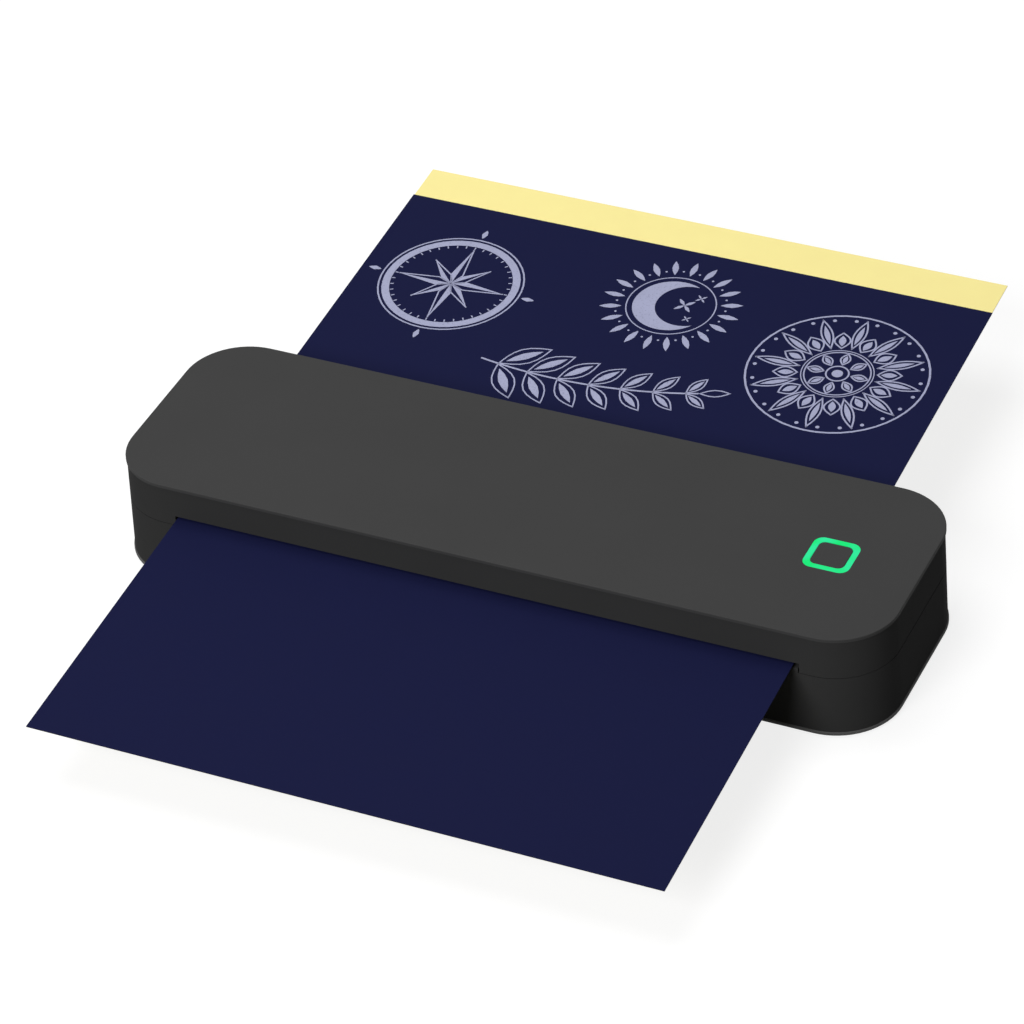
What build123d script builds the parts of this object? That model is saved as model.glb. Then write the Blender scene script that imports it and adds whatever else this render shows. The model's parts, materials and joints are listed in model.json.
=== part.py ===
from build123d import *
from math import acos, asin, atan, cos, degrees, pi, radians, sin, sqrt, tan
import os

# Portable thermal stencil copier with a cover hinged at the rear, holding an A4 transfer sheet.
# Millimetres. +Z is up, +X the operator's right, and the sheet leaves towards -Y.
# The origin is on the desk, under the middle of the casing.

# ---- casing ---------------------------------------------------------------------------------
end_room = 26.0           # top panel past the sheet's edge, at each end
depth = 79.0              # top panel, front to back
height = 38.0             # desk to top face
corner_r = 20.5           # plan corners of the top panel
draft = 1.5               # mould draft of the outer walls, degrees
wall = 2.2
foot_proud = 0.8          # the feet stand out of the underside by this much
bottom_t = 1.5            # bottom plate
plate_proud = 0.3         # the bottom plate's rim stands out past the base's wall
plate_edge = 0.3          # chamfer on top of that rim
plate_foot = 0.5          # and under it
seam_drop = 15.2          # top face down to the seam between cover and base
seam_gap = 0.3
panel_t = 1.2             # flat panel on the cover
overhang = 0.35           # the panel stands out past the cover's wall
panel_edge = 0.3          # rounding of the panel's top edge
roof_t = 1.6              # cover's own roof, under the panel
tongue_t = 0.9            # locating tongue on the base's rim
tongue_h = 1.3
tongue_fit = 0.2
tongue_back = 14.0        # the tongue runs from here forwards, clear of the cover's rear swing

# ---- transfer sheet and its path -------------------------------------------------------------
sheet_w = 210.0
sheet_len = 297.0
carbon_len = 281.5        # the dark ply ends short, and the pale backing shows past it
ply_t = 0.25
backing_inset = 0.2       # the backing's edges lie this far inside those of the dark ply
sheet_reach = 141.0       # the front edge lies this far ahead of the casing's middle
sheet_drop = 10.05        # top face of the panel down to the sheet, at the middle
sheet_slope = 0.06        # the path rises this much towards the rear
side_play = 0.9           # sheet's edges to the ends of the front lip, with the sheet in the middle
edge_gap = 0.2            # what its left edge leaves of that, because it lies a little to the left
slot_above = 0.9          # front slot, over the sheet
rear_slot_above = 1.3
lip_below = 0.6           # sheet down to the lips of both slots
notch_play = 0.4          # cover's notch past the base's lip

# ---- hinge -----------------------------------------------------------------------------------
hinge_inset = 1.8         # hinge axis ahead of the panel's rear edge
hinge_drop = 3.8          # hinge axis below the top face
hinge_out = 4.0           # middle of each ear past the sheet's edge
ear_w = 3.0
ear_r = 1.9
ear_depth = 3.2
pin_r = 1.0
pin_fit = 0.06            # running clearance of a hinge pin in its ear
side_fit = 0.3            # gap between moving parts that pass side by side
knuckle_w = 3.4

# ---- print mechanism -------------------------------------------------------------------------
nip_in = 20.5             # the head meets the platen this far behind the casing's front edge
nip_gap = 0.05
platen_r = 7.0
platen_core_r = 4.0
platen_out = 1.5          # rubber past the sheet's edge
shaft_r = 2.5
shaft_fit = 0.04
bush_r = 4.0
bush_flange_r = 4.5
bush_flange_t = 1.0
side_plate_out = 4.0      # inner face of each side plate past the sheet's edge
side_t = 1.5
side_in = 6.5             # ends of the side plates in from the casing's edges
tab = 7.0                 # bent tabs of the side plates
tab_t = 1.2
module = 0.7
pressure_angle = 20.0
addendum = 0.92           # tooth tip past the pitch circle, in modules
dedendum = 1.2            # tooth root inside it
platen_teeth = 20
idler_teeth = 26
pinion_teeth = 12
backlash = 0.12
gear_w = 4.0
gear_out = 1.7            # side plate to the gears
idler_floor = 1.65        # tips of the idler gear over the bottom plate
axle_r = 1.5
axle_fit = 0.05
clip_t = 0.6              # retaining clips in the grooves of shaft and axle
clip_rim = 1.5
clip_groove = 0.5
clip_gap = 0.3
bush_out = 0.7            # bushes past the outer faces of the side plates
gear_hub_r = 4.2
gear_hub = 0.5
idler_rim = 1.0           # rim under the teeth, in modules
idler_hub = 1.8           # hub outside the axle
idler_web = 1.4
idler_holes = 6
motor_r = 8.5
motor_floor = 1.05        # motor over the bottom plate
motor_len = 13.5
motor_flange_t = 1.0
motor_ear_pitch = 23.0
motor_ear_angle = 25.0
motor_ear_r = 3.25
motor_shaft_r = 1.0
motor_boss_r = 3.0
lead_t = 5.0              # block for the motor's leads
lead_w = 7.0
lead_l = 6.0
lead_in = 1.5

# ---- lower and upper paper guides --------------------------------------------------------------
deck_gap = 0.9            # sheet down to the lower guide
deck_t = 1.5
deck_window = 12.6
deck_fit = 0.35
rib_w = 1.2
rib_h = 0.5
rib_pitch = 15.0
rib_count = 14
guide_gap = 0.9           # sheet up to the ribs of the upper guide
guide_t = 1.2
guide_out = 2.5           # upper guide past the sheet's edge
guide_ahead = 16.0        # upper guide's front edge behind the nip
guide_rear = 5.5          # and its rear edge in from the casing's
post_r = 2.6
post_floor = 0.6          # left under the heads of the guides' screws
sensor_l = 4.2
sensor_w = 3.2
sensor_t = 3.0
sensor_up = 0.1           # past the lower guide's face
sensor_behind = 30.0      # one sensor behind the nip, and one ahead of it
sensor_ahead = 11.0
lens_r = 0.7
lens_pitch = 2.2
lens_deep = 0.5

# ---- print head ------------------------------------------------------------------------------
head_out = 2.5            # ceramic past the sheet's edge
ceramic_t = 0.8
ceramic_front = 5.0       # ahead of the nip, and behind it
ceramic_back = 10.5
glaze_w = 1.6
glaze_h = 0.07
sink_t = 1.8
sink_back = 7.5
fin_w = 0.9
fin_h = 2.2
fin_pitch = 2.1
spring_channel = 5.6
head_pivot_ahead = 13.5   # pivot axis ahead of the nip, along the sheet
head_pivot_up = 4.3       # and above the sheet
head_hub_r = 2.3
head_pin_r = 1.2
head_pin_len = 8.0
bracket_t = 2.0
bracket_gap = 0.7
bracket_foot = 6.0
bracket_foot_t = 1.2
spring_r = 1.8
spring_wire_r = 0.25
spring_turns = 3
spring_pitch_x = 62.0

# ---- power button ------------------------------------------------------------------------------
button_in = 29.2          # button's middle in from the casing's right end
ring_size = 15.2          # outside of the light ring, a rounded square
ring_w = 1.9
ring_corner = 3.2
ring_flange = 1.1
ring_flange_t = 0.8
button_fit = 0.12
button_flange = 0.8
button_step = 1.4         # ring's inside opens out under this depth for the button's flange
button_travel = 0.4
stem_r = 1.5
switch_size = 6.0
switch_t = 0.8
nub_r = 1.3
nub_h = 0.5
switch_board_l = 24.0
switch_board_w = 20.0
switch_board_t = 1.0
switch_drop = 2.7         # ring's flange down to the switch board
switch_post_r = 1.5
switch_screw_r = 0.7
switch_screw_in = 1.7     # posts in from the board's edges

# ---- electronics, battery, fasteners -----------------------------------------------------------
board_up = 2.7            # main board over the bottom plate
board_t = 1.6
board_l = 160.0
board_w = 30.0
board_gap = 6.0           # board's left end past the tabs of the left side plate
board_front = 2.8         # board's front edge behind the front wall
standoff_r = 2.2
screw_r = 1.1
screw_fit = 0.1           # clearance holes round the screws
screw_head_r = 2.1
screw_head_t = 1.1
charge_l = 15.5
charge_w = 24.0
charge_t = 1.2
usb_back = 28.5           # socket's middle behind the casing's front edge
usb_w = 8.94
usb_h = 3.26
usb_len = 7.35
usb_shell_t = 0.3
usb_fit = 0.35
cell_r = 9.0
cell_len = 65.0
cell_fit = 0.25
cell_tip_r = 2.8
cell_tip = 1.2
cell_rear = 16.3          # cells' axis ahead of the rear wall
cradle_gap = 2.0          # cradle's left end past the tabs of the left side plate
cradle_w = 21.5
cradle_floor = 1.0
cradle_h = 10.5
cradle_wall = 1.6
boss_r = 3.4
boss_bite = 0.8           # the corner bosses run into the wall by this much
magnet_r = 2.4
magnet_t = 2.0
magnet_gap = 0.5
foot_r = 6.0
foot_pocket = 0.6
foot_end = 32.5           # feet in from the casing's ends
foot_side = 13.5
base_screw_len = 9.0

# ---- values that follow ------------------------------------------------------------------------
tilt = atan(sheet_slope)
length = sheet_w + 2 * end_room
nip_y = nip_in - depth / 2
button_x = length / 2 - button_in
foot_x = length / 2 - foot_end
foot_y = depth / 2 - foot_side
side_depth = depth - 2 * side_in
tab_y = side_depth / 2 - tab / 2 - 0.5
seam_z = height - seam_drop
cover_z = seam_z + seam_gap
panel_z = height - panel_t
roof_z = panel_z - roof_t
shell_z = foot_proud + bottom_t
sheet_t = 2 * ply_t
half_w = sheet_w / 2
sheet_x = edge_gap - side_play
lip_half = half_w + side_play
notch_half = lip_half + notch_play
hinge_x = half_w + hinge_out
hinge_y = depth / 2 - hinge_inset
hinge_z = height - hinge_drop
ear_in = hinge_x - ear_w / 2
ear_out = hinge_x + ear_w / 2
side_x = half_w + side_plate_out
gear_x = side_x + side_t + gear_out
deck_stack = sheet_t + deck_gap
guide_stack = guide_gap + rib_h + guide_t


def grow(z):
    """How far the outer wall at height z stands out past the edge of the top panel."""
    return (panel_z - z) * tan(radians(draft)) - overhang


def outline(z, inset=0.0, mode=Mode.ADD):
    """The casing's plan outline at height z, drawn into the sketch that is open."""
    out = grow(z) - inset
    RectangleRounded(length + 2 * out, depth + 2 * out, corner_r + out, mode=mode)


def sheet_z(y, below=0.0):
    """Height of the plane that lies a distance below the sheet's top face."""
    return height - sheet_drop + sheet_slope * y - below / cos(tilt)


def under_sheet(y, below):
    """The (y, z) of a point a distance below the sheet's top face, square to it."""
    return (y + below * sin(tilt), sheet_z(y) - below * cos(tilt))


def sheet_plane(y=0.0, below=0.0):
    """Parallel to the sheet: local X is the row's X, local Y runs back along the path."""
    return Plane(origin=(0, *under_sheet(y, below)), x_dir=(1, 0, 0), z_dir=(0, -sin(tilt), cos(tilt)))


def path_section(x, y=0.0, below=0.0):
    """A section across X: local X runs back along the path, local Y stands square on the sheet."""
    return Plane(origin=(x, *under_sheet(y, below)), x_dir=(0, cos(tilt), sin(tilt)), z_dir=(1, 0, 0))


def across(x, centre=(0.0, 0.0)):
    """A section across X with level axes: local X is the row's Y, local Y its Z."""
    return Plane(origin=(x, centre[0], centre[1]), x_dir=(0, 1, 0), z_dir=(1, 0, 0))


def step_from(centre, distance, angle):
    """The point at a distance and angle from a centre, in the YZ plane."""
    a = radians(angle)
    return (centre[0] + distance * cos(a), centre[1] + distance * sin(a))


def pitch_r(teeth):
    return module * teeth / 2


nip_back = nip_y / cos(tilt)
platen_c = under_sheet(nip_y, sheet_t + nip_gap + platen_r)
# the idler and the motor lie as low as the bottom plate allows, in mesh with each other
idler_z = shell_z + idler_floor + pitch_r(idler_teeth) + addendum * module
idler_step = pitch_r(platen_teeth) + pitch_r(idler_teeth)
idler_angle = degrees(asin((idler_z - platen_c[1]) / idler_step))
idler_c = step_from(platen_c, idler_step, idler_angle)
pinion_step = pitch_r(idler_teeth) + pitch_r(pinion_teeth)
pinion_angle = degrees(asin((shell_z + motor_floor + motor_r - idler_z) / pinion_step))
motor_c = step_from(idler_c, pinion_step, pinion_angle)
motor_ears = [step_from(motor_c, j * motor_ear_pitch / 2, motor_ear_angle) for j in (-1, 1)]
head_pivot = path_section(0, nip_y, 0).from_local_coords((-head_pivot_ahead, head_pivot_up, 0))
head_pivot_c = (head_pivot.Y, head_pivot.Z)
boss_out = (corner_r - wall - boss_r + boss_bite) / sqrt(2)
boss_x = length / 2 - corner_r + boss_out
boss_y = depth / 2 - corner_r + boss_out
front_bosses = [(-boss_x, -boss_y), (boss_x, -boss_y)]
rear_bosses = [(-boss_x, boss_y), (boss_x, boss_y)]
screw_room = base_screw_len - (bottom_t - foot_pocket) + 0.5
board_z = shell_z + board_up
board_x = -(side_x - tab - board_gap) + board_l / 2
board_y = -(depth / 2 - wall - board_front) + board_w / 2
board_holes = [(board_x + i * (board_l / 2 - 5), board_y + j * (board_w / 2 - 4))
               for i in (-1, 0, 1) for j in (-1, 1)]
charge_z = board_z
charge_x = -(length / 2 - wall - 0.8 - charge_l / 2)
usb_y = usb_back - depth / 2
usb_z = charge_z + charge_t + usb_h / 2
charge_holes = [(charge_x + charge_l / 2 - 3, usb_y + j * (charge_w / 2 - 3)) for j in (-1, 1)]
guide_front = nip_y + guide_ahead
guide_back = depth / 2 - guide_rear
tab_spots = [(i * (side_x - tab / 2), j * tab_y) for i in (-1, 1) for j in (-1, 1)]
guide_posts = [(i * 6 * rib_pitch, guide_back - 6) for i in (-1, 0, 1)]
guide_posts += [(i * 4 * rib_pitch, guide_front + 7) for i in (-1, 1)]
switch_z = roof_z - ring_flange_t - switch_drop
switch_in = (switch_board_l / 2 - switch_screw_in, switch_board_w / 2 - switch_screw_in)
switch_holes = [(button_x - switch_in[0], switch_in[1]), (button_x + switch_in[0], -switch_in[1])]
spring_xs = [(i - 1.5) * spring_pitch_x for i in range(4)]
sensor_spots = [(4 * rib_pitch, nip_y + y) for y in (sensor_behind, -sensor_ahead)]
pin_len = 2 * knuckle_w + ear_w + 2 * side_fit
bracket_in = half_w + head_out + bracket_gap
bracket_spots = [(i * (bracket_in + bracket_t + bracket_foot / 2), head_pivot_c[0]) for i in (-1, 1)]
foot_spots = [(i * foot_x, j * foot_y) for i in (-1, 1) for j in (-1, 1)]
clip_left = -(side_x + side_t + bush_out + clip_gap + clip_t)
clip_right = gear_x + gear_w + gear_hub + clip_gap
idler_clip_x = gear_x + gear_w + clip_gap
shaft_left = clip_left - clip_groove - 0.5
shaft_right = clip_right + clip_t + clip_groove + 0.5
# the gears are turned so that their teeth mesh
idler_phase = idler_angle + 180 + 180 / idler_teeth
idler_offset = pinion_angle - idler_phase
idler_offset -= 360 / idler_teeth * round(idler_offset * idler_teeth / 360)
pinion_phase = pinion_angle + 180 + idler_offset * idler_teeth / pinion_teeth + 180 / pinion_teeth
cradle_x = -(side_x - tab - cradle_gap)
cell_y = depth / 2 - wall - cell_rear
cell_z = shell_z + cradle_floor + cell_fit + cell_r
cell_xs = [cradle_x + cradle_wall + cell_fit + cell_len / 2 + i * (cell_len + 2 * cell_fit + cradle_wall)
           for i in (0, 1)]


# ---- base --------------------------------------------------------------------------------------
def base_shell_part():
    rear_lip_z = sheet_z(depth / 2 - wall - 0.5, sheet_t + lip_below)
    front_lip_z = sheet_z(-depth / 2 - 0.5, sheet_t + lip_below)
    with BuildPart() as base_shell:
        with BuildSketch(Plane.XY.offset(shell_z)):
            outline(shell_z)
        extrude(amount=rear_lip_z - shell_z, taper=draft)
        with BuildSketch(Plane.XY.offset(shell_z)):
            outline(shell_z, wall)
        extrude(amount=rear_lip_z - shell_z, taper=draft, mode=Mode.SUBTRACT)
        # everything over the seam goes, except the two lips of the paper slots
        with BuildSketch(Plane.XY.offset(seam_z)):
            Rectangle(length + 20, depth + 20)
            with Locations((0, -depth / 2)):
                Rectangle(2 * lip_half, depth / 2, mode=Mode.SUBTRACT)
            with Locations((0, depth / 2)):
                Rectangle(2 * ear_out, depth / 2, mode=Mode.SUBTRACT)
        extrude(amount=height, mode=Mode.SUBTRACT)
        with BuildSketch(Plane.XY.offset(front_lip_z)):
            with Locations((0, -depth / 2)):
                Rectangle(length, depth / 2)
        extrude(amount=height, mode=Mode.SUBTRACT)
        # tongue round the front corners and ends
        with BuildSketch(Plane.XY.offset(seam_z - tongue_h)):
            outline(seam_z, wall - tongue_t)
            outline(seam_z, wall, Mode.SUBTRACT)
            with Locations(*front_bosses):
                Circle(boss_r + side_fit, mode=Mode.SUBTRACT)
            with Locations((0, tongue_back + depth / 2)):
                Rectangle(length + 20, depth, mode=Mode.SUBTRACT)
            with Locations((0, -depth / 2)):
                Rectangle(2 * (notch_half + 1.0), depth / 2, mode=Mode.SUBTRACT)
        extrude(amount=2 * tongue_h)
        # hinge ears, each a post with a round head
        for side in (-1, 1):
            with BuildSketch(across(side * hinge_x - ear_w / 2, (hinge_y, hinge_z))):
                Circle(ear_r)
                foot = depth / 2 - 0.6 - hinge_y
                with Locations((foot - ear_depth / 2, -(hinge_z - seam_z + 4) / 2)):
                    Rectangle(ear_depth, hinge_z - seam_z + 4)
            extrude(amount=ear_w)
        # corner bosses: all four take a screw from below, the front two a magnet on top
        with BuildSketch(Plane.XY.offset(shell_z)):
            with Locations(*front_bosses):
                Circle(boss_r)
        extrude(amount=seam_z - shell_z)
        with BuildSketch(Plane.XY.offset(shell_z)):
            with Locations(*rear_bosses):
                Circle(boss_r)
        extrude(amount=screw_room + 1.5)
        with BuildSketch(Plane.XY.offset(shell_z)):
            with Locations(*front_bosses, *rear_bosses):
                Circle(screw_r)
        extrude(amount=screw_room, mode=Mode.SUBTRACT)
        with BuildSketch(Plane.XY.offset(seam_z - magnet_t)):
            with Locations(*front_bosses):
                Circle(magnet_r)
        extrude(amount=magnet_t + 1, mode=Mode.SUBTRACT)
        # pin holes of the ears and the charging port in the left end
        with BuildSketch(across(-ear_out - 1, (hinge_y, hinge_z))):
            Circle(pin_r + pin_fit)
        extrude(amount=2 * ear_out + 2, mode=Mode.SUBTRACT)
        with BuildSketch(across(-length / 2 - 3, (usb_y, usb_z))):
            SlotOverall(usb_w + 2 * usb_fit, usb_h + 2 * usb_fit)
        extrude(amount=wall + 4, mode=Mode.SUBTRACT)
    return base_shell


def bottom_plate_part():
    with BuildPart() as bottom_plate:
        with BuildSketch(Plane.XY.offset(foot_proud)):
            outline(foot_proud, -plate_proud)
        extrude(amount=bottom_t, taper=draft)
        rims = bottom_plate.faces().filter_by(Axis.Z)
        chamfer(rims.sort_by(Axis.Z)[0].edges(), plate_foot)
        chamfer(bottom_plate.faces().sort_by(Axis.Z)[-1].edges(), plate_edge)
        with BuildSketch(Plane.XY.offset(shell_z)):
            with Locations(*board_holes, *charge_holes):
                Circle(standoff_r)
        extrude(amount=board_z - shell_z)
        with BuildSketch(Plane.XY.offset(board_z)):
            with Locations(*board_holes, *charge_holes):
                Circle(screw_r)
        extrude(amount=-3, mode=Mode.SUBTRACT)
        # tapped holes for the side plates
        with BuildSketch(Plane.XY.offset(shell_z)):
            with Locations(*tab_spots):
                Circle(screw_r)
        extrude(amount=-1.0, mode=Mode.SUBTRACT)
        with BuildSketch(Plane.XY.offset(foot_proud)):
            with Locations(*foot_spots):
                Circle(foot_r)
        extrude(amount=foot_pocket, mode=Mode.SUBTRACT)
        with BuildSketch(Plane.XY.offset(foot_proud)):
            with Locations(*front_bosses, *rear_bosses):
                Circle(screw_head_r + screw_fit)
        extrude(amount=foot_pocket, mode=Mode.SUBTRACT)
        with BuildSketch(Plane.XY.offset(foot_proud)):
            with Locations(*front_bosses, *rear_bosses):
                Circle(screw_r + screw_fit)
        extrude(amount=bottom_t, mode=Mode.SUBTRACT)
    return bottom_plate


def rubber_feet_part():
    with BuildPart() as rubber_feet:
        with BuildSketch():
            with Locations(*foot_spots):
                Circle(foot_r)
        extrude(amount=foot_proud + foot_pocket)
        chamfer(rubber_feet.faces().group_by(Axis.Z)[0].edges(), 0.3)
    return rubber_feet


def screws(plane, spots, head_r, head_t, shank_r, shank_len):
    """Screws with their heads standing on a plane and their shanks running down through it."""
    with BuildPart() as group:
        with BuildSketch(plane):
            with Locations(*spots):
                Circle(head_r)
        extrude(amount=head_t)
        with BuildSketch(plane):
            with Locations(*spots):
                Circle(shank_r)
        extrude(amount=-shank_len)
        # hexagon sockets
        with BuildSketch(plane.offset(head_t)):
            with Locations(*spots):
                RegularPolygon(head_r * 0.45, 6)
        extrude(amount=-head_t * 0.6, mode=Mode.SUBTRACT)
    return group


def side_plate_part(side):
    x_in = side * side_x
    x_low = min(x_in, x_in + side * side_t)
    with BuildPart() as side_plate:
        half = side_depth / 2
        with BuildSketch(across(x_low)):
            with BuildLine():
                Polyline(
                    (-half, shell_z), (half, shell_z),
                    (half, sheet_z(half, deck_stack + deck_t)), (-half, sheet_z(-half, deck_stack + deck_t)),
                    close=True,
                )
            make_face()
            with Locations(platen_c):
                Circle(bush_r, mode=Mode.SUBTRACT)
            if side < 0:
                with Locations((cell_y, cell_z)):
                    RectangleRounded(14, 9, 2, mode=Mode.SUBTRACT)
            if side > 0:
                with Locations(idler_c):
                    Circle(axle_r, mode=Mode.SUBTRACT)
                with Locations(motor_c):
                    Circle(motor_boss_r + screw_fit, mode=Mode.SUBTRACT)
                with Locations(*motor_ears):
                    Circle(screw_r + screw_fit, mode=Mode.SUBTRACT)
        extrude(amount=side_t)
        tab_x = side * (side_x - tab / 2)
        with BuildSketch(Plane.XY.offset(shell_z)):
            with Locations(*[(tab_x, j * tab_y) for j in (-1, 1)]):
                Rectangle(tab, tab)
        extrude(amount=tab_t)
        with BuildSketch(Plane.XY.offset(shell_z)):
            with Locations(*[(tab_x, j * tab_y) for j in (-1, 1)]):
                Circle(screw_r + screw_fit)
        extrude(amount=tab_t, mode=Mode.SUBTRACT)
        with BuildSketch(sheet_plane(0, deck_stack + deck_t)):
            with Locations(*[(tab_x, j * tab_y) for j in (-1, 1)]):
                Rectangle(tab, tab)
                Circle(screw_r + screw_fit, mode=Mode.SUBTRACT)
        extrude(amount=-tab_t)
    return side_plate


def bush_part(side):
    with BuildPart() as bush:
        x_flange = side * side_x - (bush_flange_t if side > 0 else 0)
        with BuildSketch(across(x_flange, platen_c)):
            Circle(bush_flange_r)
        extrude(amount=bush_flange_t)
        x_sleeve = side_x if side > 0 else -side_x - side_t - bush_out
        with BuildSketch(across(x_sleeve, platen_c)):
            Circle(bush_r)
        extrude(amount=side_t + bush_out)
        with BuildSketch(across(-length, platen_c)):
            Circle(shaft_r + shaft_fit)
        extrude(amount=2 * length, mode=Mode.SUBTRACT)
    return bush


def stepper_motor_part():
    x_flange = side_x - motor_flange_t
    with BuildPart() as stepper_motor:
        with BuildSketch(across(x_flange - motor_len, motor_c)):
            Circle(motor_r)
        extrude(amount=motor_len)
        fillet(stepper_motor.faces().sort_by(Axis.X)[0].edges(), 1.0)
        with BuildSketch(across(x_flange, motor_c)):
            Circle(motor_r)
            SlotOverall(motor_ear_pitch + 2 * motor_ear_r, 2 * motor_ear_r, rotation=motor_ear_angle)
            with PolarLocations(motor_ear_pitch / 2, 2, start_angle=motor_ear_angle):
                Circle(screw_r + screw_fit, mode=Mode.SUBTRACT)
        extrude(amount=motor_flange_t)
        with BuildSketch(across(side_x, motor_c)):
            Circle(motor_boss_r)
        extrude(amount=side_t)
        # lead block on the rear of the can
        with BuildSketch(across(x_flange - motor_len + lead_in, (motor_c[0] + motor_r, motor_c[1]))):
            Rectangle(lead_t, lead_w)
        extrude(amount=lead_l)
        with BuildSketch(across(x_flange - motor_len + 2, motor_c)):
            Circle(motor_shaft_r + axle_fit)
        extrude(amount=motor_len + side_t, mode=Mode.SUBTRACT)
    return stepper_motor


def idler_axle_part():
    with BuildPart() as idler_axle:
        with BuildSketch(across(side_x, idler_c)):
            Circle(axle_r)
        extrude(amount=idler_clip_x + clip_t + clip_groove - side_x)
        with BuildSketch(across(idler_clip_x, idler_c)):
            Circle(axle_r + clip_rim)
            Circle(axle_r - clip_groove, mode=Mode.SUBTRACT)
        extrude(amount=clip_t, mode=Mode.SUBTRACT)
    return idler_axle


def clip_outline(shaft, groove):
    """A C-shaped retaining clip that sits in a shaft's groove, drawn into the open sketch."""
    Circle(shaft + clip_rim)
    Circle(shaft - groove, mode=Mode.SUBTRACT)
    with Locations((0, -shaft)):
        Rectangle(1.4 * (shaft - groove), 2 * shaft, mode=Mode.SUBTRACT)


def idler_clip_part():
    with BuildPart() as idler_clip:
        with BuildSketch(across(idler_clip_x, idler_c)):
            clip_outline(axle_r, clip_groove)
        extrude(amount=clip_t)
    return idler_clip


def lower_guide_part():
    front = -(depth / 2 - overhang - wall - deck_fit)
    back = -front
    half = side_x + side_t + 0.2
    with BuildPart() as lower_guide:
        with BuildSketch(path_section(-half, 0, deck_stack + deck_t)):
            with Locations(((front + back) / 2, deck_t / 2)):
                Rectangle(back - front, deck_t)
        extrude(amount=2 * half)
        with BuildSketch(sheet_plane(0, deck_stack)):
            with Locations((0, -1)):
                with GridLocations(rib_pitch, 1, rib_count, 1):
                    Rectangle(rib_w, back - front - 5)
        extrude(amount=rib_h)
        with BuildSketch(sheet_plane(0, deck_stack + deck_t)):
            with Locations((0, nip_back)):
                Rectangle(2 * (half_w + platen_out + 0.4), deck_window)
            # corners cleared for the hinge ears, and windows over the paper sensors
            with Locations(*[(i * (half + ear_in - 0.6) / 2, back) for i in (-1, 1)]):
                Rectangle(half - ear_in + 0.6, 4.2)
            with Locations(*sensor_spots):
                Rectangle(sensor_l + 0.4, sensor_w + 0.4)
            with Locations(*tab_spots):
                Circle(screw_r + screw_fit)
        extrude(amount=deck_t + rib_h + 1, mode=Mode.SUBTRACT)
        with BuildSketch(sheet_plane(0, deck_stack)):
            with Locations(*tab_spots):
                Circle(screw_head_r + screw_fit)
        extrude(amount=-(deck_t - post_floor), mode=Mode.SUBTRACT)
    return lower_guide


def paper_sensors_part():
    with BuildPart() as paper_sensors:
        with BuildSketch(sheet_plane(0, deck_stack - sensor_up)):
            with Locations(*sensor_spots):
                Rectangle(sensor_l, sensor_w)
        extrude(amount=-sensor_t)
        with BuildSketch(sheet_plane(0, deck_stack - sensor_up)):
            with Locations(*[(x + i * lens_pitch / 2, y) for x, y in sensor_spots for i in (-1, 1)]):
                Circle(lens_r)
        extrude(amount=-lens_deep, mode=Mode.SUBTRACT)
    return paper_sensors


def main_board_part():
    with BuildPart() as main_board:
        with BuildSketch(Plane.XY.offset(board_z)):
            with Locations((board_x, board_y)):
                RectangleRounded(board_l, board_w, 1.5)
            with Locations(*board_holes):
                Circle(screw_r + screw_fit, mode=Mode.SUBTRACT)
        extrude(amount=board_t)
    return main_board


def board_parts_part():
    """Chips, coils, capacitors and connectors, as (x, y, length, width, height) from the board's middle."""
    flat = [(-50, 2, 10, 10, 1.0), (-32, -3, 7, 7, 0.9), (-12, 4, 8, 6, 1.1), (8, -4, 6, 6, 0.9),
            (22, 10.5, 5, 5, 2.6), (29, 10.5, 5, 5, 2.6), (48, 0, 9, 7, 1.2),
            (-66, 9, 12, 4, 3.2), (64, 9, 10, 4, 3.2), (40, 11, 8, 4, 3.2), (-30, 11, 26, 3.4, 2.2)]
    round_ = [(-20, -10, 2.5, 3.6), (-12.5, -10, 2.5, 3.6), (56, -9, 3.0, 3.9)]
    top = board_z + board_t
    with BuildPart() as board_parts:
        for x, y, size_x, size_y, size_z in flat:
            with BuildSketch(Plane.XY.offset(top)):
                with Locations((board_x + x, board_y + y)):
                    Rectangle(size_x, size_y)
            extrude(amount=size_z)
        for x, y, radius, size_z in round_:
            with BuildSketch(Plane.XY.offset(top)):
                with Locations((board_x + x, board_y + y)):
                    Circle(radius)
            extrude(amount=size_z)
    return board_parts


def charge_board_part():
    with BuildPart() as charge_board:
        with BuildSketch(Plane.XY.offset(charge_z)):
            with Locations((charge_x, usb_y)):
                RectangleRounded(charge_l, charge_w, 1)
            with Locations(*charge_holes):
                Circle(screw_r + screw_fit, mode=Mode.SUBTRACT)
        extrude(amount=charge_t)
    return charge_board


def usb_socket_part():
    mouth = -(length / 2 + grow(usb_z) - 1.0)
    with BuildPart() as usb_socket:
        with BuildSketch(across(mouth, (usb_y, usb_z))):
            SlotOverall(usb_w, usb_h)
        extrude(amount=usb_len)
        with BuildSketch(across(mouth, (usb_y, usb_z))):
            SlotOverall(usb_w - 2 * usb_shell_t, usb_h - 2 * usb_shell_t)
        extrude(amount=usb_len - 1, mode=Mode.SUBTRACT)
        with BuildSketch(across(mouth + 0.8, (usb_y, usb_z))):
            Rectangle(usb_w - 2.3, 0.7)
        extrude(amount=usb_len - 1)
    return usb_socket


def battery_cells_part():
    with BuildPart() as battery_cells:
        for x in cell_xs:
            with BuildSketch(across(x - cell_len / 2, (cell_y, cell_z))):
                Circle(cell_r)
            extrude(amount=cell_len - cell_tip)
            with BuildSketch(across(x + cell_len / 2 - cell_tip, (cell_y, cell_z))):
                Circle(cell_tip_r)
            extrude(amount=cell_tip)
    return battery_cells


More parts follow.
